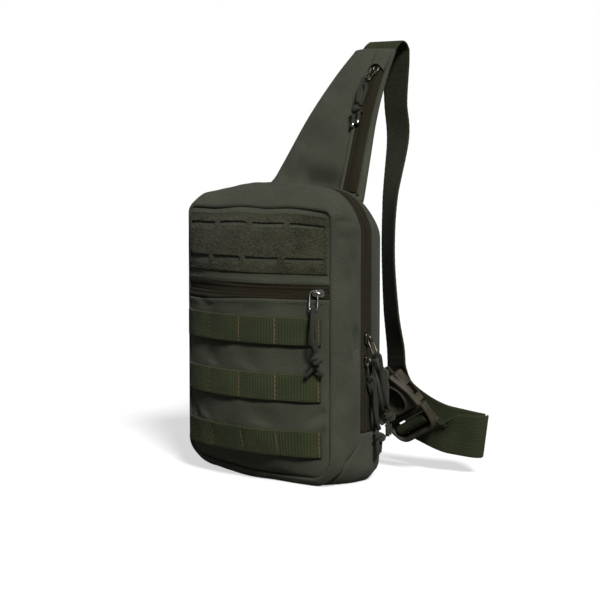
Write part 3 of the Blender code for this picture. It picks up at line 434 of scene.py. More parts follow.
def cloth(name, rows, finish, inside, thick=0.0010, keep=None):
    """An open grid of points made into cloth, thickened towards the point `inside`."""
    columns = len(rows[0])
    faces = []
    for i in range(len(rows) - 1):
        for j in range(columns - 1):
            a = i * columns + j
            if keep is None or keep(i, j):
                faces.append((a, a + 1, a + columns + 1, a + columns))
    points = [p for row in rows for p in row]
    p = [points[k] for k in faces[len(faces) // 2]]
    if (p[1] - p[0]).cross(p[3] - p[0]).dot(p[0] - Vector(inside)) < 0:
        faces = [tuple(reversed(face)) for face in faces]
    obj = new_object(name, points, faces, finish, thread_uvs(rows))
    solid = obj.modifiers.new("thickness", "SOLIDIFY")
    solid.thickness = thick
    solid.offset = -1.0
    bpy.context.view_layer.update()
    mesh = bpy.data.meshes.new_from_object(obj.evaluated_get(bpy.context.evaluated_depsgraph_get()))
    obj.modifiers.clear()
    obj.data = mesh
    return obj


def outward(obj):
    """Turn all faces to point out."""
    made = bmesh.new()
    made.from_mesh(obj.data)
    bmesh.ops.recalc_face_normals(made, faces=made.faces)
    made.to_mesh(obj.data)
    made.free()
    return obj


def tubes(name, many, finish, uvs=None, capped=True):
    """One mesh of closed tubes, each made of rings that have the same number of points."""
    points, faces = [], []
    for rings in many:
        n = len(rings[0])
        first = len(points)
        points += [p for ring in rings for p in ring]
        for a in range(first, len(points) - n, n):
            faces += [(a + j, a + (j + 1) % n, a + n + (j + 1) % n, a + n + j) for j in range(n)]
        if capped:
            faces += [tuple(range(first + n - 1, first - 1, -1)), tuple(range(len(points) - n, len(points)))]
    if callable(uvs):
        uvs = [uvs(p) for p in points]
    return outward(new_object(name, points, faces, finish, uvs))


def slab(name, rows, columns, point, finish, degrees):
    """A closed slab: point(i, j, level) is on its underside (level 0) and on its top (1)."""
    n = columns + 1
    size = (rows + 1) * n
    points = [point(i, j, level) for level in (0, 1) for i in range(rows + 1) for j in range(n)]
    faces = []
    for k in (i * n + j for i in range(rows) for j in range(columns)):
        faces += [(k, k + n, k + n + 1, k + 1), (size + k, size + k + 1, size + k + n + 1, size + k + n)]
    rim = list(range(n)) + [i * n + columns for i in range(1, rows + 1)]
    rim += [rows * n + j for j in range(columns - 1, -1, -1)] + [i * n for i in range(rows - 1, 0, -1)]
    faces += [(k, m, size + m, size + k) for k, m in zip(rim, rim[1:] + rim[:1])]
    obj = outward(new_object(name, points, faces, finish))
    return smooth_by_angle(obj, degrees)


def smooth_by_angle(obj, degrees):
    obj.data.polygons.foreach_set("use_smooth", [True] * len(obj.data.polygons))
    obj.data.set_sharp_from_angle(angle=radians(degrees))
    return obj


def sweep(name, frames, profile, finish, capped=True):
    """A closed profile swept along frames of (centre, side, out). profile(s) lists (side, out) pairs."""
    lengths = marks_along([centre for centre, _, _ in frames])
    rings = []
    for (centre, side, out), s in zip(frames, lengths):
        rings.append([centre + side * a + out * b for a, b in profile(s)])
    marks = marks_along(rings[0])
    uvs = [(s, mark) for s in lengths for mark in marks]
    return tubes(name, [rings], finish, uvs, capped)


def ahead_at(points, k):
    return (points[min(k + 1, len(points) - 1)] - points[max(k - 1, 0)]).normalized()


def frames_along(points, side_of=None):
    """(centre, side, out) frames. side_of(k) is the width's direction; without it they turn very little."""
    side, found = (points[1] - points[0]).orthogonal().normalized(), []
    for k, centre in enumerate(points):
        ahead = ahead_at(points, k)
        side = side_of(k) if side_of else side
        side = (side - side.dot(ahead) * ahead).normalized()
        found.append((centre, side, ahead.cross(side)))
    return found


def turned(radius_a, radius_b, sides):
    """Points round an oval, as (a, b) pairs."""
    return [(radius_a * cos(2 * pi * k / sides), radius_b * sin(2 * pi * k / sides)) for k in range(sides)]


def circle(radius, sides, ripple=0.0, pitch=0.0016):
    """A cord's section; ripple raises the braid's strands."""
    def profile(s):
        found = []
        for k in range(sides):
            a, turn = 2 * pi * k / sides, pi * s / pitch
            r = radius * (1 + ripple * sin(turn + 3 * a) * sin(turn - 3 * a))
            found.append((r * cos(a), r * sin(a)))
        return found
    return profile


def catmull(before, a, b, after, t):
    return 0.5 * (2 * a + (b - before) * t + (2 * before - 5 * a + 4 * b - after) * t * t
                  + (3 * a - before - 3 * b + after) * t ** 3)


def smooth_pairs(pairs, step):
    """Points `step` apart on the curve through the route's own points, with turning directions."""
    keys = [(Vector(p), Vector(d)) for p, d in pairs]
    per_span = 24
    dense = []
    for i in range(len(keys) - 1):
        before, a, b = keys[max(i - 1, 0)], keys[i], keys[i + 1]
        after = keys[min(i + 2, len(keys) - 1)]
        dense += [tuple(catmull(before[m], a[m], b[m], after[m], k / per_span) for m in (0, 1))
                  for k in range(per_span)]
    dense.append(keys[-1])
    marks = marks_along([p for p, _ in dense])
    count = max(2, round(marks[-1] / step))
    found, k = [dense[0]], 0
    for i in range(1, count):
        target = marks[-1] * i / count
        while marks[k + 1] < target:
            k += 1
        part = (target - marks[k]) / (marks[k + 1] - marks[k])
        found.append(tuple(dense[k][m].lerp(dense[k + 1][m], part) for m in (0, 1)))
    return found + [dense[-1]]


def smooth(points, step):
    return [p for p, _ in smooth_pairs([(p, p) for p in points], step)]


def frame_of(first, third):
    """Axes with x along `first` and z as near `third` as it can be."""
    x = Vector(first).normalized()
    z = Vector(third)
    z = (z - z.dot(x) * x).normalized()
    return Matrix((x, z.cross(x), z)).transposed()


def joined(name, pieces):
    """One object from several."""
    made = bmesh.new()
    for other in pieces:
        made.from_mesh(other.data)
    mesh = bpy.data.meshes.new(name)
    made.to_mesh(mesh)
    made.free()
    mesh.materials.append(pieces[0].data.materials[0])
    for other in pieces:
        bpy.data.objects.remove(other)
    return linked(name, mesh)


# ---- the bag's shape -----------------------------------------------------------------------
def blend_curve(t):
    t = min(max(t, 0.0), 1.0)
    return t * t * (3 - 2 * t)


def section(y):
    """Half width, base, top and corner radii of the outline at depth y."""
    y = min(max(y, SEAM_Y), BACK_Y)
    for low, high in zip(SECTIONS, SECTIONS[1:]):
        if y <= high[0]:
            part = (y - low[0]) / (high[0] - low[0])
            return [a + (b - a) * part for a, b in zip(low[1:], high[1:])]


def outline(y, t, over=True):
    """Point and normal from the right-hand side (t=1), over the top or under the base, to the left (-1)."""
    w, base, top, r_top, r_base = section(y)
    end, r, turn, flat, up = (top, r_top, 0.45, 0.62, 1.0) if over else (base, r_base, 0.12, 0.50, -1.0)
    side, s = (1 if t >= 0 else -1), 1 - abs(t)
    if s < turn:
        x, z, nx, nz = w, ZIP_END_Z + (end - up * r - ZIP_END_Z) * s / turn, 1.0, 0.0
    elif s < flat:
        angle = pi / 2 * (s - turn) / (flat - turn)
        nx, nz = cos(angle), up * sin(angle)
        x, z = w - r + r * nx, end - up * r + r * nz
    else:
        x, z, nx, nz = (w - r) * (1 - (s - flat) / (1 - flat)), end, 0.0, up
    return Vector((side * x, y, z)), Vector((side * nx, 0, nz))


def half_width(y, z, inset):
    """Half width of the outline at depth y and height z, moved in by inset."""
    w, base, top, r_top, r_base = section(y)
    w, base, top = w - inset, base + inset, top - inset
    if z < base + r_base:
        return w - r_base + sqrt(max(r_base ** 2 - (base + r_base - z) ** 2, 0.0))
    if z > top - r_top:
        return w - r_top + sqrt(max(r_top ** 2 - (z - top + r_top) ** 2, 0.0))
    return w


def front_y(x, z):
    """The filled front: a shallow pillow that ends in the front seam."""
    w, base, top, _, _ = section(SEAM_Y)
    middle, half = (base + top) / 2, (top - base) / 2
    radius = (w ** 2 + FRONT_BULGE ** 2) / (2 * FRONT_BULGE)
    across = (sqrt(radius ** 2 - min(x ** 2, w ** 2)) - radius + FRONT_BULGE) / FRONT_BULGE
    return SEAM_Y - FRONT_BULGE * across * max(1 - abs((z - middle) / half) ** 5, 0.0)


def front_normal(x, z):
    step = 0.001
    dx = (front_y(x + step, z) - front_y(x - step, z)) / (2 * step)
    dz = (front_y(x, z + step) - front_y(x, z - step)) / (2 * step)
    return Vector((dx, -1.0, dz)).normalized()


def front_point(x, z, lift=0.0):
    return Vector((x, front_y(x, z), z)) + front_normal(x, z) * lift


def domed(obj):
    """The filled top stands highest in its middle and sags at its corners; the base lifts at the left."""
    for vertex in obj.data.vertices:
        x, y, z = vertex.co
        rise = 0.0045 - 0.0115 * (x / 0.0825) ** 2
        back = blend_curve((y - SEAM_Y) / 0.030)
        wave = 0.0030 * noise.noise(Vector((x * 26, 4.0, 0.5)))
        depth = 0.30 + 0.70 * back - 0.55 * blend_curve((y - 0.012) / 0.024)
        vertex.co.z += (rise * depth + wave * (1 - back)) * blend_curve((z - 0.215) / 0.032)
        left, low = blend_curve((-x - 0.005) / 0.080), 1 - blend_curve((z - 0.004) / 0.034)
        vertex.co.z += 0.0075 * left * low * (1 - 0.6 * back)
    return obj


def folds(*rows):
    """Start, end, width and depth of each fold, from millimetres."""
    return [(Vector(r[:3]) / 1000, Vector(r[3:6]) / 1000, r[6] / 1000, r[7] / 1000) for r in rows]


def folded(p, all_folds):
    """How far folds draw the point p in. Each is deepest along its line and fades at its ends."""
    drawn = 0.0
    for a, b, width, depth in all_folds:
        along = (p - a).dot(b - a) / (b - a).length_squared
        gone = (p - a.lerp(b, min(max(along, 0.0), 1.0))).length / width
        drawn += exp(-gone * gone) * blend_curve(along * 4 + 0.5) * blend_curve((1 - along) * 1.5) * depth
    return drawn


def rumple(p, scale, seed):
    """Soft unevenness of filled cloth, from -1 to 1."""
    q = p * scale + Vector((seed * 7.3, seed * 3.1, seed * 5.7))
    return noise.noise(q) * 0.7 + noise.noise(q * 2.3) * 0.3


def pulled(rows, all_folds, depth_noise, scale, seed):
    """Move each (point, normal, ease) in or out by its folds and by the cloth's unevenness."""
    def moved(p, n, ease):
        found = p + n * ((rumple(p, scale, seed) * depth_noise - folded(p, all_folds)) * ease)
        found.z = max(found.z, 0.0001)
        return found
    return [[moved(*station) for station in row] for row in rows]


# ---- body cloth ----------------------------------------------------------------------------
# Depth and scale of the cloth's unevenness.
FRONT_NOISE, SIDE_NOISE, REAR_NOISE = (0.0022, 24.0), (0.0020, 34.0), (0.0010, 30.0)
SIDE_SEED, REAR_SEED, BASE_SEED, LOWER, UPPER, TAPE_SEED, ZIP_SEED, WEDGE_SEED, FINE_SEED = range(1, 10)
PAD_SEED = 11
GUSSET_FOLDS = folds(        # in the front's side cloth
    (83, -31, 240.0, 90, -10, 244.0, 3.4, 5.6), (80, -31, 228.0, 90, -14, 218.0, 4.0, 5.6),
    (70, -31, 250.0, 80, -16, 256.0, 3.6, 5.0), (88, -12, 208.0, 89, -2, 170.0, 6.0, 2.6),
    (87, -22, 190.0, 89, -6, 176.0, 6.0, 2.2), (90, -9, 140.0, 91, -1, 100.0, 5.5, 4.6),
    (87, -20, 118.0, 89, -6, 102.0, 7.0, 2.2), (20, -32, 250.0, 12, -18, 262.0, 4.0, 2.6),
    (-52, -33, 248.0, -36, -18, 260.0, 4.0, 2.6), (26, -32, 251.5, 44, -12, 262.5, 3.6, 4.6),
    (50, -31, 251.0, 70, -12, 260.0, 3.5, 4.0), (64, -31, 249.0, 80, -14, 254.5, 3.4, 4.0),
    (78, -31, 236.0, 88, -12, 230.0, 3.5, 1.8), (-20, -33, 252.0, -4, -12, 264.0, 4.0, 2.0),
    (-58, -33, 252.0, -50, -12, 264.0, 4.0, 1.4), (84, -26, 156.0, 88, -4, 134.0, 6.0, 1.6),
    (83, -26, 90.0, 88, -6, 60.0, 7.0, 1.6), (80, -30, 50.0, 86, -10, 36.0, 5.0, 1.4),
    (84, -24, 214.0, 88, -3, 196.0, 6.0, 1.2), (-84, -24, 150.0, -88, -4, 130.0, 6.0, 1.6))
FRONT_FOLDS = folds(
    (76, -36, 70, 58, -48, 54, 4.5, 2.2), (76, -36, 54, 62, -44, 30, 4.5, 1.6),
    (-40, -52, 106, -36, -53, 125, 11, 2.2), (6, -58, 107, 12, -58, 126, 12, 2.0),
    (-52, -50, 56, -44, -52, 76, 11, 2.2), (20, -57, 56, 24, -56, 76, 12, 2.0),
    (-60, -46, 164, -30, -54, 157, 4.0, 1.4), (0, -58, 156, 40, -52, 160, 4.0, 1.0),
    (-30, -52, 20, 30, -52, 18, 6.0, 1.4), (-74, -36, 62, -62, -44, 46, 5.0, 1.6))


def settle(x, z, seed):
    """How far the front's cloth stands out at (x, z), with its folds and unevenness."""
    p, n = front_point(x, z), front_normal(x, z)
    return (pulled([[(p, n, 1.0)]], FRONT_FOLDS, *FRONT_NOISE, seed)[0][0] - p).dot(n)


def under_webbing(x, middle):
    """The same under a row of webbing, which lies on the cloth's highest places."""
    return max(settle(x, middle + step, LOWER) for step in (-0.009, 0.0, 0.009))


def lower_seam_y(z):
    """Depth of the seam that runs from the zip's end down and forward under the base."""
    return ZIP_Y[0] - 0.026 * blend_curve((ZIP_END_Z - z) / 0.044)


def around(y_of=lambda z: SEAM_Y, top_steps=230, base_steps=65):
    """(point, normal) once round from the base's middle, at a depth that may vary with height."""
    stations = [(False, k / base_steps) for k in range(base_steps + 1)]
    stations += [(True, 1 - 2 * k / top_steps) for k in range(1, top_steps + 1)]
    stations += [(False, k / base_steps - 1) for k in range(1, base_steps + 1)]
    return [outline(y_of(1.0 if over else outline(0.0, t, over)[0].z), t, over) for over, t in stations]


def rolled(line, turns, ease):
    """The same line moved out and back, once for each turn."""
    return [[(p + n * out + Vector((0, back, 0)), n, ease) for p, n in line] for out, back in turns]


def front_gusset_cloth():
    """One strip of cloth right round the front, rolled over the front seam and folded at the zip."""
    rows = rolled(around(), ((-0.0052, 0.0034), (-0.0036, 0.0008), (-0.0020, -0.0010), (-0.0003, -0.0012),
                             (0.0010, -0.0002)), 0.15)
    steps = 22
    for v in (k / steps for k in range(1, steps + 1)):
        puff = 0.0012 + 0.0030 * sin(pi * v) ** 0.8 - 0.0014 * v
        line = around(lambda z: SEAM_Y + (lower_seam_y(z) - SEAM_Y) * v)
        rows += rolled(line, [(puff, 0)], min(1.0, v * 5, (1 - v) * 6 + 0.1))
    rows += rolled(around(lower_seam_y), ((-0.0006, 0.0010), (-0.0018, 0.0011), (-0.0034, 0.0004)), 0.1)
    obj = cloth("front_gusset_cloth", pulled(rows, GUSSET_FOLDS, *SIDE_NOISE, SIDE_SEED), CLOTH, BAG_MIDDLE)
    place_piece(domed(obj), FLEXING, ["front_gusset"])


def rear_strip(name, node, body, line_at, turns, steps, swell, seed):
    """Cloth from a seam (line_at(0)) to the back (line_at(1)), rolled in at both."""
    rows = rolled(line_at(0.0), turns, 0.0)
    for v in (k / steps for k in range(1, steps + 1)):
        rows += rolled(line_at(v), [(0.0004 + swell * sin(pi * v), 0)], min(1.0, v * 4, (1 - v) * 4 + 0.1))
    rows += rolled(line_at(1.0), [(-0.0022, 0.0012)], 0.0)
    obj = cloth(name, pulled(rows, GUSSET_FOLDS, *REAR_NOISE, seed), CLOTH, BAG_MIDDLE)
    place_piece(domed(obj), body, [node])


def rear_cloth():
    """The rear side wall over the top, and the cloth under the base that joins it to the front."""
    def over(v):
        return [outline(ZIP_Y[2] + (BACK_Y - ZIP_Y[2]) * v, t) for t in ROUND_TOP]

    def under(v):
        found = []
        for t in (1 - 2 * k / 160 for k in range(161)):
            start = lower_seam_y(outline(0.0, t, False)[0].z)
            found.append(outline(start + (BACK_Y - start) * v, t, False))
        return found
    rear_strip("rear_gusset_cloth", "rear_gusset", "back_shell", over,
               ((-0.0028, -0.0002), (-0.0010, -0.0010), (0.0003, -0.0006)), 10, 0.0012, REAR_SEED)
    rear_strip("bottom_cloth", "bottom_panel", FLEXING, under,
               ((-0.0022, 0.0004), (-0.0007, 0.0006)), 22, 0.0014, BASE_SEED)


def front_cloth(name, node, low, high, hem_low, hem_high, seed):
    """A stretch of the front panel from one height to another; a hem is a folded, raised edge."""
    steps = round((high - low) / 0.0018)
    heights = [(low + (high - low) * k / steps, 0.0) for k in range(steps + 1)]
    if hem_high:
        heights += [(high + 0.0006, -0.0008), (high + 0.0004, -0.0022)]
    if hem_low:
        heights = [(low - 0.0004, -0.0022), (low - 0.0006, -0.0008)] + heights
    columns = 96

    def point(i, j):
        z, drop = heights[i]
        c = 2 * j / columns - 1
        c *= 1.25 - 0.25 * c * c
        x = half_width(SEAM_Y, min(max(z, low), high), 0.0006) * c
        edge = min(1.0, (1 - abs(c)) / 0.045)
        rounded = 0.0028 * (1 - sqrt(1 - (1 - edge) ** 2))
        end = 0.0
        for hem, inside in ((hem_high, high - z), (hem_low, z - low)):
            if hem:
                end += 0.0011 * exp(-(inside / 0.0035) ** 2)
            elif inside < 0.006:
                end -= 0.0028 * (1 - inside / 0.006) ** 2
        dip = pocket_dip(x) * blend_curve((z - 0.148) / 0.020) if hem_high else 0.0
        return front_point(x, z - dip, drop + end - rounded), front_normal(x, z), edge * 0.9 + 0.1

    rows = pulled(grid(len(heights) - 1, columns, point), FRONT_FOLDS, *FRONT_NOISE, seed)
    obj = cloth(name, rows, CLOTH, (0, 0.1, (low + high) / 2))
    place_piece(domed(obj), "front_shell", [node])


def front_cloths():
    _, base, top, _, _ = section(SEAM_Y)
    front_cloth("front_cloth_lower", "front_panel_lower", base + 0.0006, POCKET_ZIP_Z[0], False, True, LOWER)
    front_cloth("front_cloth_upper", "front_panel_upper", POCKET_ZIP_Z[2], top - 0.0006, True, False, UPPER)


def topstitching():
    """Rows of straight stitches along the hems of the pocket."""
    runs = []
    for z, dips in ((POCKET_ZIP_Z[0] - 0.0024, True), (POCKET_ZIP_Z[2] + 0.0024, False)):
        xs = [0.0775 * (2 * k / 160 - 1) for k in range(161)]
        points = [front_point(x, z - (pocket_dip(x) if dips else 0.0), 0.0013) for x in xs]
        runs += running_stitch(points, [front_normal(p.x, z) for p in points])
    place_piece(stitches("pocket_topstitching", runs, 0.00022, CLOTH), "front_shell")


def seam_piping():
    """The thin cord in the front seam."""
    line = [p - n * 0.0012 for p, n in around()]
    obj = sweep("front_seam_piping", frames_along(line), circle(0.0009, 8), CLOTH, capped=False)
    place_piece(domed(obj), "front_shell", ["front_seam_welt"])


# ---- front: loop panel, pocket zip, webbing ------------------------------------------------
def loop_panel():
    """Loop pile, laser-cut with two rows of slots whose lower lips sink a little."""
    low, high = LOOP_PANEL_Z
    pitch = 2 * LOOP_HALF_WIDTH / SLOTS_PER_ROW
    across, upright = 264, 96

    def beside_slot(x, z):
        """0 at the middle of a slot's length, 1 past its ends; and the height above its line."""
        near = (x + LOOP_HALF_WIDTH) % pitch - pitch / 2
        row = min(SLOT_ROWS_Z, key=lambda r: abs(r - z))
        return abs(near) / ((pitch - SLOT_BRIDGE) / 2), z - row

    def point(i, j):
        z = low + (high - low) * i / upright
        reach = min(half_width(SEAM_Y, z, 0.0030), LOOP_HALF_WIDTH + 0.0008)
        x = reach * (2 * j / across - 1)
        end, above = beside_slot(x, z)
        height, line = (0.0003, 0.0022) if above > 0 else (-0.0009, -0.0020)
        lip = height * exp(-((above - line) / 0.0026) ** 2) * blend_curve((1.05 - end) * 4)
        edge = min(z - low, high - z, reach - abs(x))
        rim = -0.0012 * (1 - min(1.0, edge / 0.0012)) ** 2
        p = front_point(x, z)
        fuzz = noise.noise(p * 1150) * 0.00050 + noise.noise(p * 420) * 0.00035
        lift = 0.0015 + settle(x, z, UPPER) * min(1.0, edge / 0.004 + 0.3)
        return p + front_normal(x, z) * (lift + lip + rim + fuzz)

    def keep(i, j):
        end, above = beside_slot(LOOP_HALF_WIDTH * (2 * (j + 0.5) / across - 1),
                                 low + (high - low) * (i + 0.5) / upright)
        return abs(above) > SLOT_HALF_HEIGHT or end > 1.0

    obj = cloth("loop_pile_panel", grid(upright, across, point), PILE, (0, 0.1, 0.21), 0.0012, keep)
    place_piece(domed(obj), "front_shell", ["loop_panel"])


def teeth(pitch, half, height):
    """Profile of one half of a zip's coil: a flat bead that swells at each turn."""
    def profile(s):
        turn = 0.5 + 0.5 * sin(2 * pi * s / pitch)
        h = height * (0.35 + 0.65 * turn)
        w = half * (0.75 + 0.25 * turn)
        return [(0.00005, 0.0), (0.00005, h * 0.8), (w * 0.35, h), (w * 0.75, h * 0.85), (w, 0.0)]
    return profile


def pocket_dip(x):
    """How far the pocket's lower hem hangs below its line, which grows towards the left."""
    return 0.0048 * blend_curve((0.03 - x) / 0.10)


def pocket_zip():
    """The front pocket's zip: two bulging tapes, and the coil's turns along the middle."""
    low, shut, high = POCKET_ZIP_Z
    columns, steps = 120, 14
    for part, z0, z1, hem_z, seed in (("lower", low - 0.0016, shut - 0.0003, low - 0.0016, LOWER),
                                      ("upper", shut + 0.0003, high + 0.0016, high + 0.0016, UPPER)):
        def point(i, j):
            v = i / steps
            z = z0 + (z1 - z0) * v
            x = half_width(SEAM_Y, z, 0.0020) * (2 * j / columns - 1)
            to_hem = 1 - v if part == "lower" else v
            rise = 0.0011 * sin(pi * v) - 0.0009 + 0.00030 * sin(2 * pi * i / 4.7)
            wave = 0.0006 * rumple(Vector((x, 0, z)), 60.0, TAPE_SEED)
            wave += 0.0012 * blend_curve(-x / 0.05) * sin(pi * v)
            clear = blend_curve((abs(z - shut) - 0.0034) / 0.0030)     # the slider's path stays flat
            dip = pocket_dip(x) * to_hem if part == "lower" else 0.0
            return front_point(x, z - dip, rise + (wave + settle(x, hem_z, seed) * to_hem) * clear)
        obj = cloth(f"pocket_tape_{part}", grid(steps, columns, point), TAPE, (0, 0.1, shut), TAPE_THICK)
        place_piece(obj, "front_shell", [f"pocket_zip_tape_{part}"])
    for part, side in (("lower", -1), ("upper", 1)):
        points = [front_point(0.0790 * (2 * k / 520 - 1), shut, -0.0010) for k in range(521)]
        frames = [(p, Vector((0, 0, side)), front_normal(p.x, shut)) for p in points]
        obj = sweep(f"pocket_coil_{part}", frames, teeth(0.0013, 0.0014, 0.0009), COIL)
        place_piece(obj, "front_shell", [f"pocket_zip_coil_{part}"])


def webbing_profile(width, rib, rib_pitch, pick, pick_pitch, count):
    """Ribbed webbing: ribs along it, picks across it, and rounded selvedges."""
    def profile(s):
        outer, inner = [], []
        for k in range(count + 1):
            a = width * (k / count - 0.5)
            edge = min(1.0, (width / 2 - abs(a)) / (WEBBING_THICK * 0.6))
            half = WEBBING_THICK / 2 * sqrt(max(1 - (1 - edge) ** 2, 0.04))
            half += (rib * abs(sin(pi * a / rib_pitch)) + pick * sin(2 * pi * s / pick_pitch)) * edge
            outer.append((a, half))
            inner.append((a, -half))
        return outer + inner[::-1]
    return profile


def molle_webbing():
    """Three rows of webbing, tacked down at five places, and the tacks' zigzag stitches."""
    steps = 300
    left, length = MOLLE_X[0], MOLLE_X[1] - MOLLE_X[0]
    profile = webbing_profile(MOLLE_WIDTH, 0.00008, 0.0021, 0.00026, 0.0029, 26)
    runs = []
    for row in (1, 2, 3):
        middle = MOLLE_FIRST_Z + MOLLE_WIDTH / 2 + MOLLE_PITCH * (3 - row)
        frames = []
        for k in range(steps + 1):
            x = left + length * k / steps
            rise = MOLLE_RISE * abs(sin(pi * MOLLE_CELLS * k / steps)) ** 0.7
            n = front_normal(x, middle)
            up = (Vector((0, 0, 1)) - n * n.z).normalized()
            frames.append((front_point(x, middle, 0.0014 + rise + under_webbing(x, middle)), up, n))
        obj = sweep(f"molle_webbing_{row}", frames, profile, WEBBING)
        place_piece(obj, "front_shell", [f"molle_row_{row}"])
        for column in range(MOLLE_CELLS + 1):
            runs += zigzag(left + 0.0022 + (length - 0.0044) * column / MOLLE_CELLS, middle, 11)
    place_piece(stitches("molle_stitching", runs, 0.00045, THREAD), "front_shell")


def zigzag(x, middle, count):
    """A column of slanting stitches over the webbing's width."""
    low, step = middle - MOLLE_WIDTH / 2 + 0.0012, (MOLLE_WIDTH - 0.0024) / count
    rise, normal = 0.0025 + under_webbing(x, middle), front_normal(x, middle)
    found = []
    for k in range(count):
        swing, z = (0.0010 if k % 2 else -0.0010), low + step * k
        found.append((front_point(x - swing, z, rise), front_point(x + swing, z + step, rise), normal))
    return found


def stitches(name, runs, radius, finish):
    """Each stitch is a small arched thread from its start to its end."""
    many = []
    for start, end, normal in runs:
        along = end - start
        side = along.cross(normal).normalized()
        out = side.cross(along).normalized()
        rings = []
        for t in (i / 5 for i in range(6)):
            r = radius * (0.35 + 0.65 * sin(pi * min(max(t, 0.06), 0.94)) ** 0.4)
            centre = start.lerp(end, t) + normal * (radius * 1.2 * sin(pi * t) - radius)
            rings.append([centre + side * a + out * b for a, b in turned(r, r, 6)])
        many.append(rings)
    return tubes(name, many, finish, lambda p: (p.x, p.z))


def running_stitch(points, normals, pitch=0.0034, share=0.68):
    """Straight stitches along a line of points."""
    marks = marks_along(points)
    found, length = [], 0.0

    def at(s):
        k = min(max(i for i, m in enumerate(marks) if m <= s), len(points) - 2)
        return points[k].lerp(points[k + 1], (s - marks[k]) / (marks[k + 1] - marks[k])), normals[k]

    while length + pitch * share < marks[-1]:
        start, n = at(length)
        found.append((start, at(length + pitch * share)[0], n))
        length += pitch
    return found


# ---- main zip ------------------------------------------------------------------------------
def main_zip():
    front, coil, rear = ZIP_Y
    halves = (("front", "front_shell", front - 0.0018, coil - 0.0001, -1),
              ("rear", "back_shell", coil + 0.0001, rear + 0.0022, 1))
    for part, body, y0, y1, _ in halves:
        def point(i, j):
            p, n = outline(y0 + (y1 - y0) * i / 8, ROUND_TOP[j])
            return p + n * (0.0008 * sin(pi * i / 8) - 0.0014 + 0.0004 * rumple(p, 70.0, ZIP_SEED))
        obj = cloth(f"main_tape_{part}", grid(8, 230, point), TAPE, BAG_MIDDLE, TAPE_THICK)
        place_piece(domed(obj), body, [f"main_zip_tape_{part}"])
    line = [outline(coil, 1 - 2 * k / 1900) for k in range(1901)]
    for part, body, _, _, side in halves:
        frames = [(p - n * 0.0008, Vector((0, side, 0)), n) for p, n in line]
        obj = sweep(f"main_coil_{part}", frames, teeth(0.0014, 0.0018, 0.0011), COIL)
        place_piece(domed(obj), body, [f"main_zip_coil_{part}"])


# ---- wedge ---------------------------------------------------------------------------------
WEDGE_CURVE = smooth(WEDGE_LINE, 0.002)
WEDGE_FOLDS = folds(
    (-40, 52, 272, -4, 58, 284, 16, 7.0), (-16, 48, 274, 44, 48, 264, 12, 10.5),
    (-34, 70, 305, -16, 86, 330, 16, 3.6), (-24, 100, 350, -10, 112, 364, 14, 2.2),
    (14, 96, 346, 22, 104, 356, 6, 1.2))


def wedge_at(t):
    """Centre, tangent and outward (front) normal of the wedge at t from 0 (base) to 1 (tip)."""
    line = WEDGE_CURVE
    last = len(line) - 1
    k = min(max(int(floor(t * last)), 0), last - 1)
    tangent = (line[min(k + 4, last)] - line[max(k - 3, 0)]).normalized()
    normal = Vector((1, 0, 0)).cross(tangent).normalized()
    return line[k].lerp(line[k + 1], t * last - k), tangent, -normal if normal.y > 0 else normal


def wedge_size(t):
    """Half width and half thickness."""
    return [base + (tip - base) * t for base, tip in (WEDGE_HALF_WIDTH, WEDGE_HALF_THICK)]


def wedge_surface(t, u, lift=0.0):
    """A point on the wedge's front face, u metres to the right of its centre line."""
    centre, _, normal = wedge_at(t)
    w, h = wedge_size(t)
    crown = h * max(1 - abs(u / w) ** 3, 0.0) ** (1 / 3)
    return centre + Vector((u, 0, 0)) + normal * (crown + lift)


def wedge_zip_u(t):
    return wedge_size(t)[0] - 0.0125 + 0.003 * t


def wedge_cloth():
    """The padded wedge: a crowned closed form that is thinner at its sewn edges."""
    stations = [-0.10 + 1.10 * i / 90 for i in range(91)]
    rings = []
    for t in stations:
        centre, _, normal = wedge_at(t)
        w, h = wedge_size(min(max(t, 0.0), 1.0))
        h *= 1.0 if t > 0 else 1.0 + t * 3
        left = 0.0070 * max(t, 0.0) ** 1.5 + 0.0085 * (1 - blend_curve((t + 0.02) / 0.15))
        ring = []
        for c, s in turned(1, 1, 96):
            x = (w if c >= 0 else -w - left) * abs(c) ** (2 / 3)
            n = h * (abs(s) ** (2 / 3)) * (1 if s >= 0 else -1)
            p = centre + Vector((x, 0, 0)) + normal * n
            move = 0.0022 * rumple(p, 20.0, WEDGE_SEED) + 0.0006 * rumple(p, 60.0, FINE_SEED)
            move -= folded(p, WEDGE_FOLDS)
            ring.append(p + normal * (move * (s if abs(s) > 0.3 else 0)))
        rings.append(ring)
    lengths = marks_along([wedge_at(t)[0] for t in stations])
    uvs = [(p.x, length) for ring, length in zip(rings, lengths) for p in ring]
    obj = tubes("wedge_cloth", [rings], CLOTH, uvs)
    place_piece(obj, "back_shell", ["shoulder_wedge"])


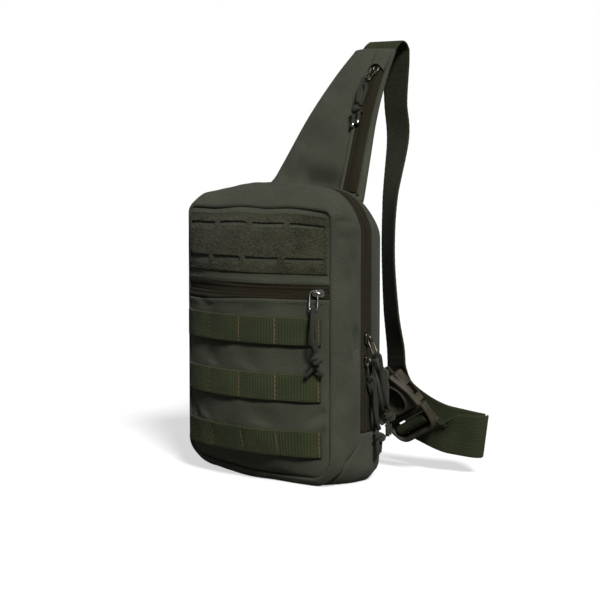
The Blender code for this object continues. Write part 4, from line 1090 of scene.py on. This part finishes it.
def wedge_zip():
    """Tapes and coil down the wedge's right side, the flap's folded edge, and the garage over the slider."""
    for part, side, reach in (("inner", -1, 0.0072), ("outer", 1, 0.0078)):
        def tape(i, k):
            t, c = 0.02 + 0.88 * i / 60, k / 8
            u = wedge_zip_u(t) + side * (0.0001 + reach * c)
            return wedge_surface(t, u, 0.0011 + 0.0004 * sin(pi * c))
        obj = cloth(f"wedge_tape_{part}", grid(60, 8, tape), TAPE, (0, 0.25, 0.25), TAPE_THICK)
        place_piece(obj, "back_shell", [f"wedge_zip_tape_{part}"])

    def beside(start, length, steps, shift, lift, side):
        stations = [start + length * k / steps for k in range(steps + 1)]
        return [(wedge_surface(t, wedge_zip_u(t) + shift, lift), Vector((side, 0, 0)), wedge_at(t)[2])
                for t in stations]
    coils = [sweep(f"wedge_coil_{side}", beside(0.02, 0.84, 560, 0.0, 0.0016, side), teeth(0.0013, 0.0016, 0.0010),
                   COIL) for side in (-1, 1)]
    place_piece(joined("wedge_coil", coils), "back_shell", ["wedge_zip_coil"])

    for name, shift, half, high in (("wedge_zip_flap", -0.0086, 0.0024, 0.0017),
                                    ("wedge_edge_binding", 0.0092, 0.0018, 0.0012)):
        oval = [(half * c, high * s + 0.0006 * c) for c, s in turned(1, 1, 12)]
        obj = sweep(name, beside(0.01, 0.97, 90, shift, 0.0006, 1), lambda s: oval, CLOTH)
        place_piece(obj, "back_shell")

    def garage(i, j):
        c = 2 * j / 16 - 1
        start = 0.842 - 0.030 * c * c
        t = start + (0.985 - start) * i / 12
        lift = 0.0052 - 0.0036 * abs(c) ** 3 + (0.0009 if i < 2 else 0.0)
        return wedge_surface(t, wedge_zip_u(t) - 0.0008 + 0.0088 * c, lift * (1 - 0.55 * blend_curve((i - 8) / 4)))
    obj = cloth("wedge_garage_cloth", grid(12, 16, garage), CLOTH, (0, 0.25, 0.25), 0.0009)
    place_piece(obj, "back_shell", ["wedge_zip_garage"])


# ---- strap ---------------------------------------------------------------------------------
def buckle_point(a, w=0.0, n=0.0):
    """A world point from the buckle's own coordinates."""
    return BUCKLE_CENTRE + BUCKLE_A * a + BUCKLE_W * w + BUCKLE_N * n


def straps():
    def profile_for(width):
        return webbing_profile(width, 0.00010, 0.0020, 0.00007, 0.0018, 40)
    pairs = smooth_pairs([STRAP_START] + STRAP_ROUTE, 0.0014)
    frames = frames_along([p for p, _ in pairs], lambda k: pairs[k][1])
    obj = sweep("strap_webbing_shaded", frames, profile_for(STRAP_WIDTH), SHADED_STRAP_WEBBING)
    place_piece(obj, "back_shell", ["shoulder_strap"])

    wrap = BAR_RADIUS + GAP + WEBBING_THICK / 2 + 0.0002
    end_centre, end_across = [Vector(v) for v in STRAP_ROUTE[-1]]
    across = end_across.normalized()
    fold_end = end_centre + Vector((-0.0140, -0.0150, 0.0005))
    # The strap's fold, then the way behind the plug's end bar, round the ladder bar, and the tail.
    keys = [
        (end_centre + Vector((0.0035, -0.0010, -0.0004)), across),
        (end_centre + Vector((0.0050, -0.0055, -0.0006)), across),
        (end_centre + Vector((-0.0010, -0.0105, -0.0004)), across),
        (fold_end, Vector((0.22, -0.03, 0.97))),
    ]
    over = buckle_point(BAR_A + 0.0150, 0.0, -0.0056)
    keys += [(fold_end.lerp(over, share), across.lerp(BUCKLE_W, share)) for share in (0.28, 0.55, 0.80)]
    beside_bar = [(0.0150, -0.0056), (0.0100, -0.0056), (0.0066, -0.0040)]
    for k in range(10):
        angle = 1.5 * pi * k / 9
        broad, front = (wrap * 1.5, wrap * 1.9) if k < 6 else (wrap, wrap)
        beside_bar.append((cos(angle) * broad, sin(angle) * front))
    beside_bar += [(0.0040, -0.0066), (0.0100, -0.0084), (0.0150, -0.0086), (0.0200, -0.0090)]
    keys += [(buckle_point(BAR_A + a, 0.0, n), BUCKLE_W) for a, n in beside_bar]
    pairs = smooth_pairs(keys, 0.0010)
    points = [p for p, _ in pairs]
    frames = []
    for k, (centre, across) in enumerate(pairs):
        across = across.normalized()
        frames.append((centre, across, ahead_at(points, k).cross(across).normalized()))
    obj = sweep("strap_adjuster_webbing", frames, profile_for(STRAP_WIDTH), SHADED_STRAP_WEBBING)
    place_piece(obj, "buckle_male", ["strap_adjuster_run"])

    points = [buckle_point(SOCKET_END - GAP - 0.0085 * k / 10) for k in range(11)]
    obj = sweep("buckle_tab_webbing", frames_along(points, lambda k: BUCKLE_W), profile_for(STRAP_WIDTH - 0.0010),
                SHADED_STRAP_WEBBING)
    place_piece(obj, "back_shell", ["buckle_webbing"])


def buckle_cover():
    """The socket's front: a rail along each side and a round thumb recess with a raised rim."""
    lengths, across = 72, 96
    start, end = COVER_A

    def point(i, j, level):
        share = i / lengths
        a = start + (end - start) * share
        half = 0.0212 + 0.0072 * sin(pi * min(0.10 + share * 0.55, 0.5)) ** 2
        w = half * (2 * j / across - 1)
        side = half - abs(w)
        edge = min(side, a - start, end - a)
        out = sqrt((a - RECESS[0]) ** 2 + (w - RECESS[1]) ** 2) - RECESS[2]
        inside = blend_curve(-out / 0.0050)
        height = 0.0030 + 0.0014 * exp(-((side - 0.0020) / 0.0020) ** 4)
        height += 0.0014 * exp(-((out - 0.0012) / 0.0011) ** 2)
        height += (0.0007 * exp(-((w - RECESS[1]) / 0.0016) ** 2) - 0.0027) * inside
        height -= 0.0014 * (1 - min(1.0, edge / 0.0014)) ** 2
        return buckle_point(a, w, BUCKLE_THICK / 2 + GAP + max(height, 0.0002) * level)
    place_piece(slab("buckle_cover", lengths, across, point, PLASTIC, 50), "back_shell")


def buckle_frame():
    """The plug's rim: a bowed rail down each side that meets across the end."""
    half = [(0.0078, 0.0268), (0.0130, 0.0262), (0.0200, 0.0250), (0.0262, 0.0232), (0.0300, 0.0196),
            (0.0312, 0.0150), (0.0312, 0.0060)]
    line = smooth([buckle_point(a, w, 0.0030) for a, w in half + [(a, -w) for a, w in reversed(half)]], 0.0010)
    frames = frames_along(line, lambda k: BUCKLE_N.cross(ahead_at(line, k)))
    obj = smooth_by_angle(sweep("buckle_frame", frames, lambda s: turned(0.0024, 0.0044, 20), PLASTIC), 50)
    place_piece(obj, "buckle_male")


def slider_body(name, place, travel, out, finish, node):
    """A zip slider: a waisted plate with a raised rim, and an arched bridge that holds its ring."""
    axes = frame_of(travel, out)
    half_length, thick, columns = 0.0058, 0.0021, 12

    def point(i, j, level):
        v, c = i / 22, 2 * j / columns - 1
        half = (0.0040 - 0.0009 * blend_curve(v)) * sqrt(max(1 - abs(2 * v - 1) ** 5, 0.0)) + 1e-6
        rim = 0.0004 * exp(-((abs(c) - 0.80) / 0.15) ** 2)
        crown = thick * (1 - 0.35 * abs(c) ** 4 - 0.35 * abs(2 * v - 1) ** 6) + rim
        return place + axes @ Vector((half_length * (1 - 2 * v), half * c, GAP + crown * level))
    plate = slab(name + "_plate", 22, columns, point, finish, 40)
    line = []
    for a in (pi * k / 20 for k in range(21)):
        line.append(place + axes @ Vector((0.0034 * cos(a), 0, SLIDER_FOOT - 0.0006 + 0.0036 * sin(a) ** 0.75)))
    bridge = sweep(name + "_bridge", frames_along(line, lambda k: axes.col[1]),
                   lambda s: turned(0.0012, 0.00048, 10), finish)
    obj = smooth_by_angle(joined(name, [plate, bridge]), 40)
    place_piece(obj, node, [node])


def ring_points(top, down, side):
    r = RING_WIDTH / 2 - RING_WIRE
    length = RING_LENGTH - 2 * RING_WIRE
    points = []
    for centre, start in ((top + down * r, 0.0), (top + down * (length - r), -pi)):
        for angle in (start + pi * k / 14 for k in range(15)):
            points.append(centre + side * (r * cos(angle)) - down * (r * sin(angle)))
    return points + [points[0].copy()]


def cord_loop(low_wire, hang, through, knot_at, lean, spread):
    """The cord's route: from the knot up one leg, through the ring and down the other leg."""
    turn = RING_WIRE + CORD_RADIUS + 0.0011
    down = (knot_at - low_wire).normalized()
    out = (through - through.dot(down) * down).normalized()
    side = down.cross(out)
    reach = (knot_at - low_wire).length - KNOT_RADIUS * 1.15 - 0.0009
    legs = []
    for s in (1, -1):
        leg = [low_wire + through * s * turn + hang * 0.0016]
        for wide, apart, leaning, far in ((turn * 1.05, 0.45, 0.7, 0.22), (turn * 0.85, 1, 1, 0.52),
                                          (turn * 0.75, 0.85, 1, 0.78), (CORD_RADIUS * 1.15, 0.15, 0, 1)):
            leg.append(low_wire + out * s * wide + side * s * spread * apart + lean * leaning + down * reach * far)
        legs.append(leg)
    top = [low_wire + through * turn * cos(a * pi) - hang * turn * sin(a * pi) for a in (0.1, 0.3, 0.5, 0.7, 0.9)]
    return legs[0][::-1] + top + legs[1]


def overhand_knot(name, centre, up, out, tails, tips):
    """An overhand knot in doubled cord: the wound lump, and two tails with frayed or capped ends."""
    axes = frame_of(up, out)
    line = []
    for a in (2 * pi * k / 132 for k in range(133)):
        reach = 0.0026 + 0.0014 * cos(3 * a)
        line.append(centre + axes @ Vector((0.00198 * sin(3 * a) + 0.0012 * sin(a), reach * cos(2 * a),
                                            reach * sin(2 * a))))
    parts = [sweep(name + "_lump", frames_along(line), circle(CORD_RADIUS * 1.12, 16, 0.05), CORD, capped=False)]
    for k, end in enumerate(tails):
        side = (axes.col[1] if k else -axes.col[1]) * 0.0016
        path = smooth([centre + side * 0.5, centre.lerp(end, 0.45) + side, end], 0.0008)
        parts.append(sweep(f"{name}_tail_{k}", frames_along(path), circle(CORD_RADIUS, 16, 0.05), CORD))
        if not tips:
            parts.append(frayed_end(f"{name}_fray_{k}", end, (path[-1] - path[-3]).normalized(), k))
    obj = joined(name, parts)
    caps = []
    for k, end in enumerate(tails if tips else ()):
        away = (end - centre).normalized()
        frames = frames_along([end + away * s for s in (-0.0012, 0.0, 0.0016, 0.0024, 0.0027)])
        rings = [[c + a * x + b * y for x, y in turned(r, r, 16)]
                 for (c, a, b), r in zip(frames, (0.0019, 0.00195, 0.0019, 0.0013, 0.0004))]
        caps.append(smooth_by_angle(tubes(f"{name}_tip_{k}", [rings], SILVER), 40))
    return obj, caps


def frayed_end(name, end, ahead, seed):
    """A tuft of fine fibres at a cut cord's end."""
    side = ahead.orthogonal().normalized()
    other = ahead.cross(side)
    golden_angle, fibres = 2.399963, 46
    many = []
    for k in range(fibres):
        r, a = CORD_RADIUS * 0.9 * sqrt((k + 0.5) / fibres), golden_angle * k
        away = side * cos(a) + other * sin(a)
        root = end + away * r - ahead * 0.0004
        bend = Vector([noise.noise(root * 900 + Vector(v)) for v in ((seed, 0, 0), (0, 9, seed), (5, 0, seed))])
        tip = root + ahead * (0.0022 + 0.0010 * abs(bend.x)) + away * r * 0.35 + bend * 0.0012
        middle = root.lerp(tip, 0.6) + bend * 0.0003
        many.append([[centre + side * x + other * y for x, y in turned(radius, radius, 4)]
                     for centre, radius in ((root, 0.00026), (middle, 0.00020), (tip, 0.00008))])
    return tubes(name, many, CORD, lambda p: (p.x, p.z))


def pull(name, top, down, side, route, knot_at, tails, finish, tips=False):
    """The ring, the cord looped through it and the knot that ends it."""
    ring = sweep(name + "_ring_wire", frames_along(ring_points(top, down, side)), circle(RING_WIRE, 12), finish,
                 capped=False)
    place_piece(ring, name, [name + "_ring"])
    path = smooth(route, 0.0008)
    cord = sweep(name + "_braid", frames_along(path), circle(CORD_RADIUS, 16, 0.05), CORD)
    place_piece(cord, name, [name + "_cord"])
    up = (path[0] + path[-1]) / 2 - knot_at
    knot, caps = overhand_knot(name + "_overhand", knot_at, up, side.cross(up).normalized(), tails, tips)
    place_piece(knot, name, [name + "_knot"])
    for cap in caps:
        place_piece(cap, name)
    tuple(path[0])
    marks_along(path)[-1]


def pulls():
    wire_length = RING_LENGTH - 2 * RING_WIRE
    eye_height = SLIDER_FOOT + SLIDER_EYE
    no_lean = Vector((0, 0, 0))
    for part, z, degrees, knot_at, tails, spread in MAIN_PULLS:
        place, tilt = Vector((section(ZIP_Y[1])[0], ZIP_Y[1], z)), radians(degrees)
        slider_body(f"slider_main_{part}", place, (0, 0, 1), (1, 0, 0), GUNMETAL, f"main_slider_{part}")
        eye = place + Vector((eye_height, 0, 0))
        down, through = Vector((sin(tilt), 0, -cos(tilt))), Vector((cos(tilt), 0, sin(tilt)))
        route = cord_loop(eye + down * wire_length, down, through, Vector(knot_at), no_lean, spread)
        pull(f"main_pull_{part}", eye, down, Vector((0, 1, 0)), route, Vector(knot_at),
             [Vector(t) for t in tails], GUNMETAL)

    x, z = FRONT_SLIDER_X, POCKET_ZIP_Z[1]
    normal = front_normal(x, z)
    tangent = Vector((1, -normal.x / normal.y, 0)).normalized()
    place = front_point(x, z, -0.0004)
    slider_body("slider_front", place, tangent, normal, SILVER, "front_slider")
    eye = place + frame_of(tangent, normal).col[2] * eye_height
    tilt = radians(14)
    down = (Vector((0, 0, -1)) * cos(tilt) + normal * sin(tilt)).normalized()
    r, above = RING_WIDTH / 2 - RING_WIRE, 0.0025
    top = eye - down * above - tangent * sqrt(r ** 2 - (r - above) ** 2)
    kx, kz = x + FRONT_KNOT[0], FRONT_KNOT[1]
    knot_at = front_point(kx, kz, FRONT_KNOT[2])
    through = normal * cos(tilt) + Vector((0, 0, 1)) * sin(tilt)
    route = cord_loop(top + down * wire_length, down, through, knot_at, normal * 0.0040, 0.0014)
    tails = [front_point(kx + dx, kz + dz, 0.0095) for dx, dz in FRONT_TAILS]
    pull("front_pull", top, down, tangent, route, knot_at, tails, SILVER)

    t = WEDGE_SLIDER_T
    _, tangent, normal = wedge_at(t)
    place = wedge_surface(t, wedge_zip_u(t), 0.0026)
    slider_body("slider_wedge", place, tangent, normal, GUNMETAL, "wedge_slider")
    eye = place + frame_of(tangent, normal).col[2] * eye_height
    tilt = radians(8)
    down = (-tangent * cos(tilt) + normal * sin(tilt)).normalized()
    through = (normal * cos(tilt) + tangent * sin(tilt)).normalized()
    knot_at = wedge_surface(*WEDGE_KNOT)
    route = cord_loop(eye + down * wire_length, down, through, knot_at, no_lean, 0.0012)
    tails = [wedge_surface(*tail) for tail in WEDGE_TAILS]
    pull("wedge_pull", eye, down, Vector((1, 0, 0)), route, knot_at, tails, GUNMETAL, tips=True)


# ---- back ----------------------------------------------------------------------------------
def back_pad():
    """The padded back: a crowned slab with sewn channels."""
    inset, across, upright = 0.0012, 90, 120
    w, base, top = [a - b for a, b in zip(section(BACK_Y), (inset, -inset, inset))]
    middle, half = (base + top) / 2, (top - base) / 2

    def point(i, j):
        z = middle + half * (2 * i / upright - 1)
        reach = half_width(BACK_Y, z, inset)
        x = reach * (2 * j / across - 1)
        edge = min(1.0, min(reach - abs(x), z - base, top - z) / 0.010)
        swell = sqrt(max(1 - (1 - edge) ** 2, 0.0))
        channel = sum(exp(-((z - middle - k * 0.055) / 0.0030) ** 2) for k in (-1, 0, 1)) * (abs(x) < w - 0.012)
        uneven = 0.0007 * rumple(Vector((x, 0, z)), 30.0, PAD_SEED)
        return Vector((x, BACK_Y + GAP + 0.0006 + 0.0078 * swell + (uneven - 0.0034 * channel) * edge, z))
    obj = cloth("back_pad_cloth", grid(upright, across, point), CLOTH, (0, -0.2, 0.13), 0.0030)
    place_piece(domed(obj), "back_shell", ["back_pad"])


def wing():
    """The fabric wing at the rear seam that the buckle's webbing is sewn to."""
    inner, outer = WING_X[0] - 0.004, WING_X[1]
    low, high = WING_Z

    def point(i, j):
        c, v = j / 12, i / 24
        z = low + 0.007 * c + (high - low - 0.014 * c) * v
        return Vector((inner + (outer - inner) * c, BACK_Y + 0.0008 + 0.0005 * sin(pi * v), z))
    obj = cloth("wing_cloth", grid(24, 12, point), CLOTH, (0.09, 0.2, 0.08), 0.0022)
    place_piece(obj, "back_shell", ["buckle_wing"])


camera()
studio()
finish_cad_nodes()
pulls()
front_gusset_cloth()
rear_cloth()
front_cloths()
seam_piping()
topstitching()
loop_panel()
pocket_zip()
molle_webbing()
main_zip()
wedge_cloth()
wedge_zip()
straps()
buckle_cover()
buckle_frame()
back_pad()
wing()
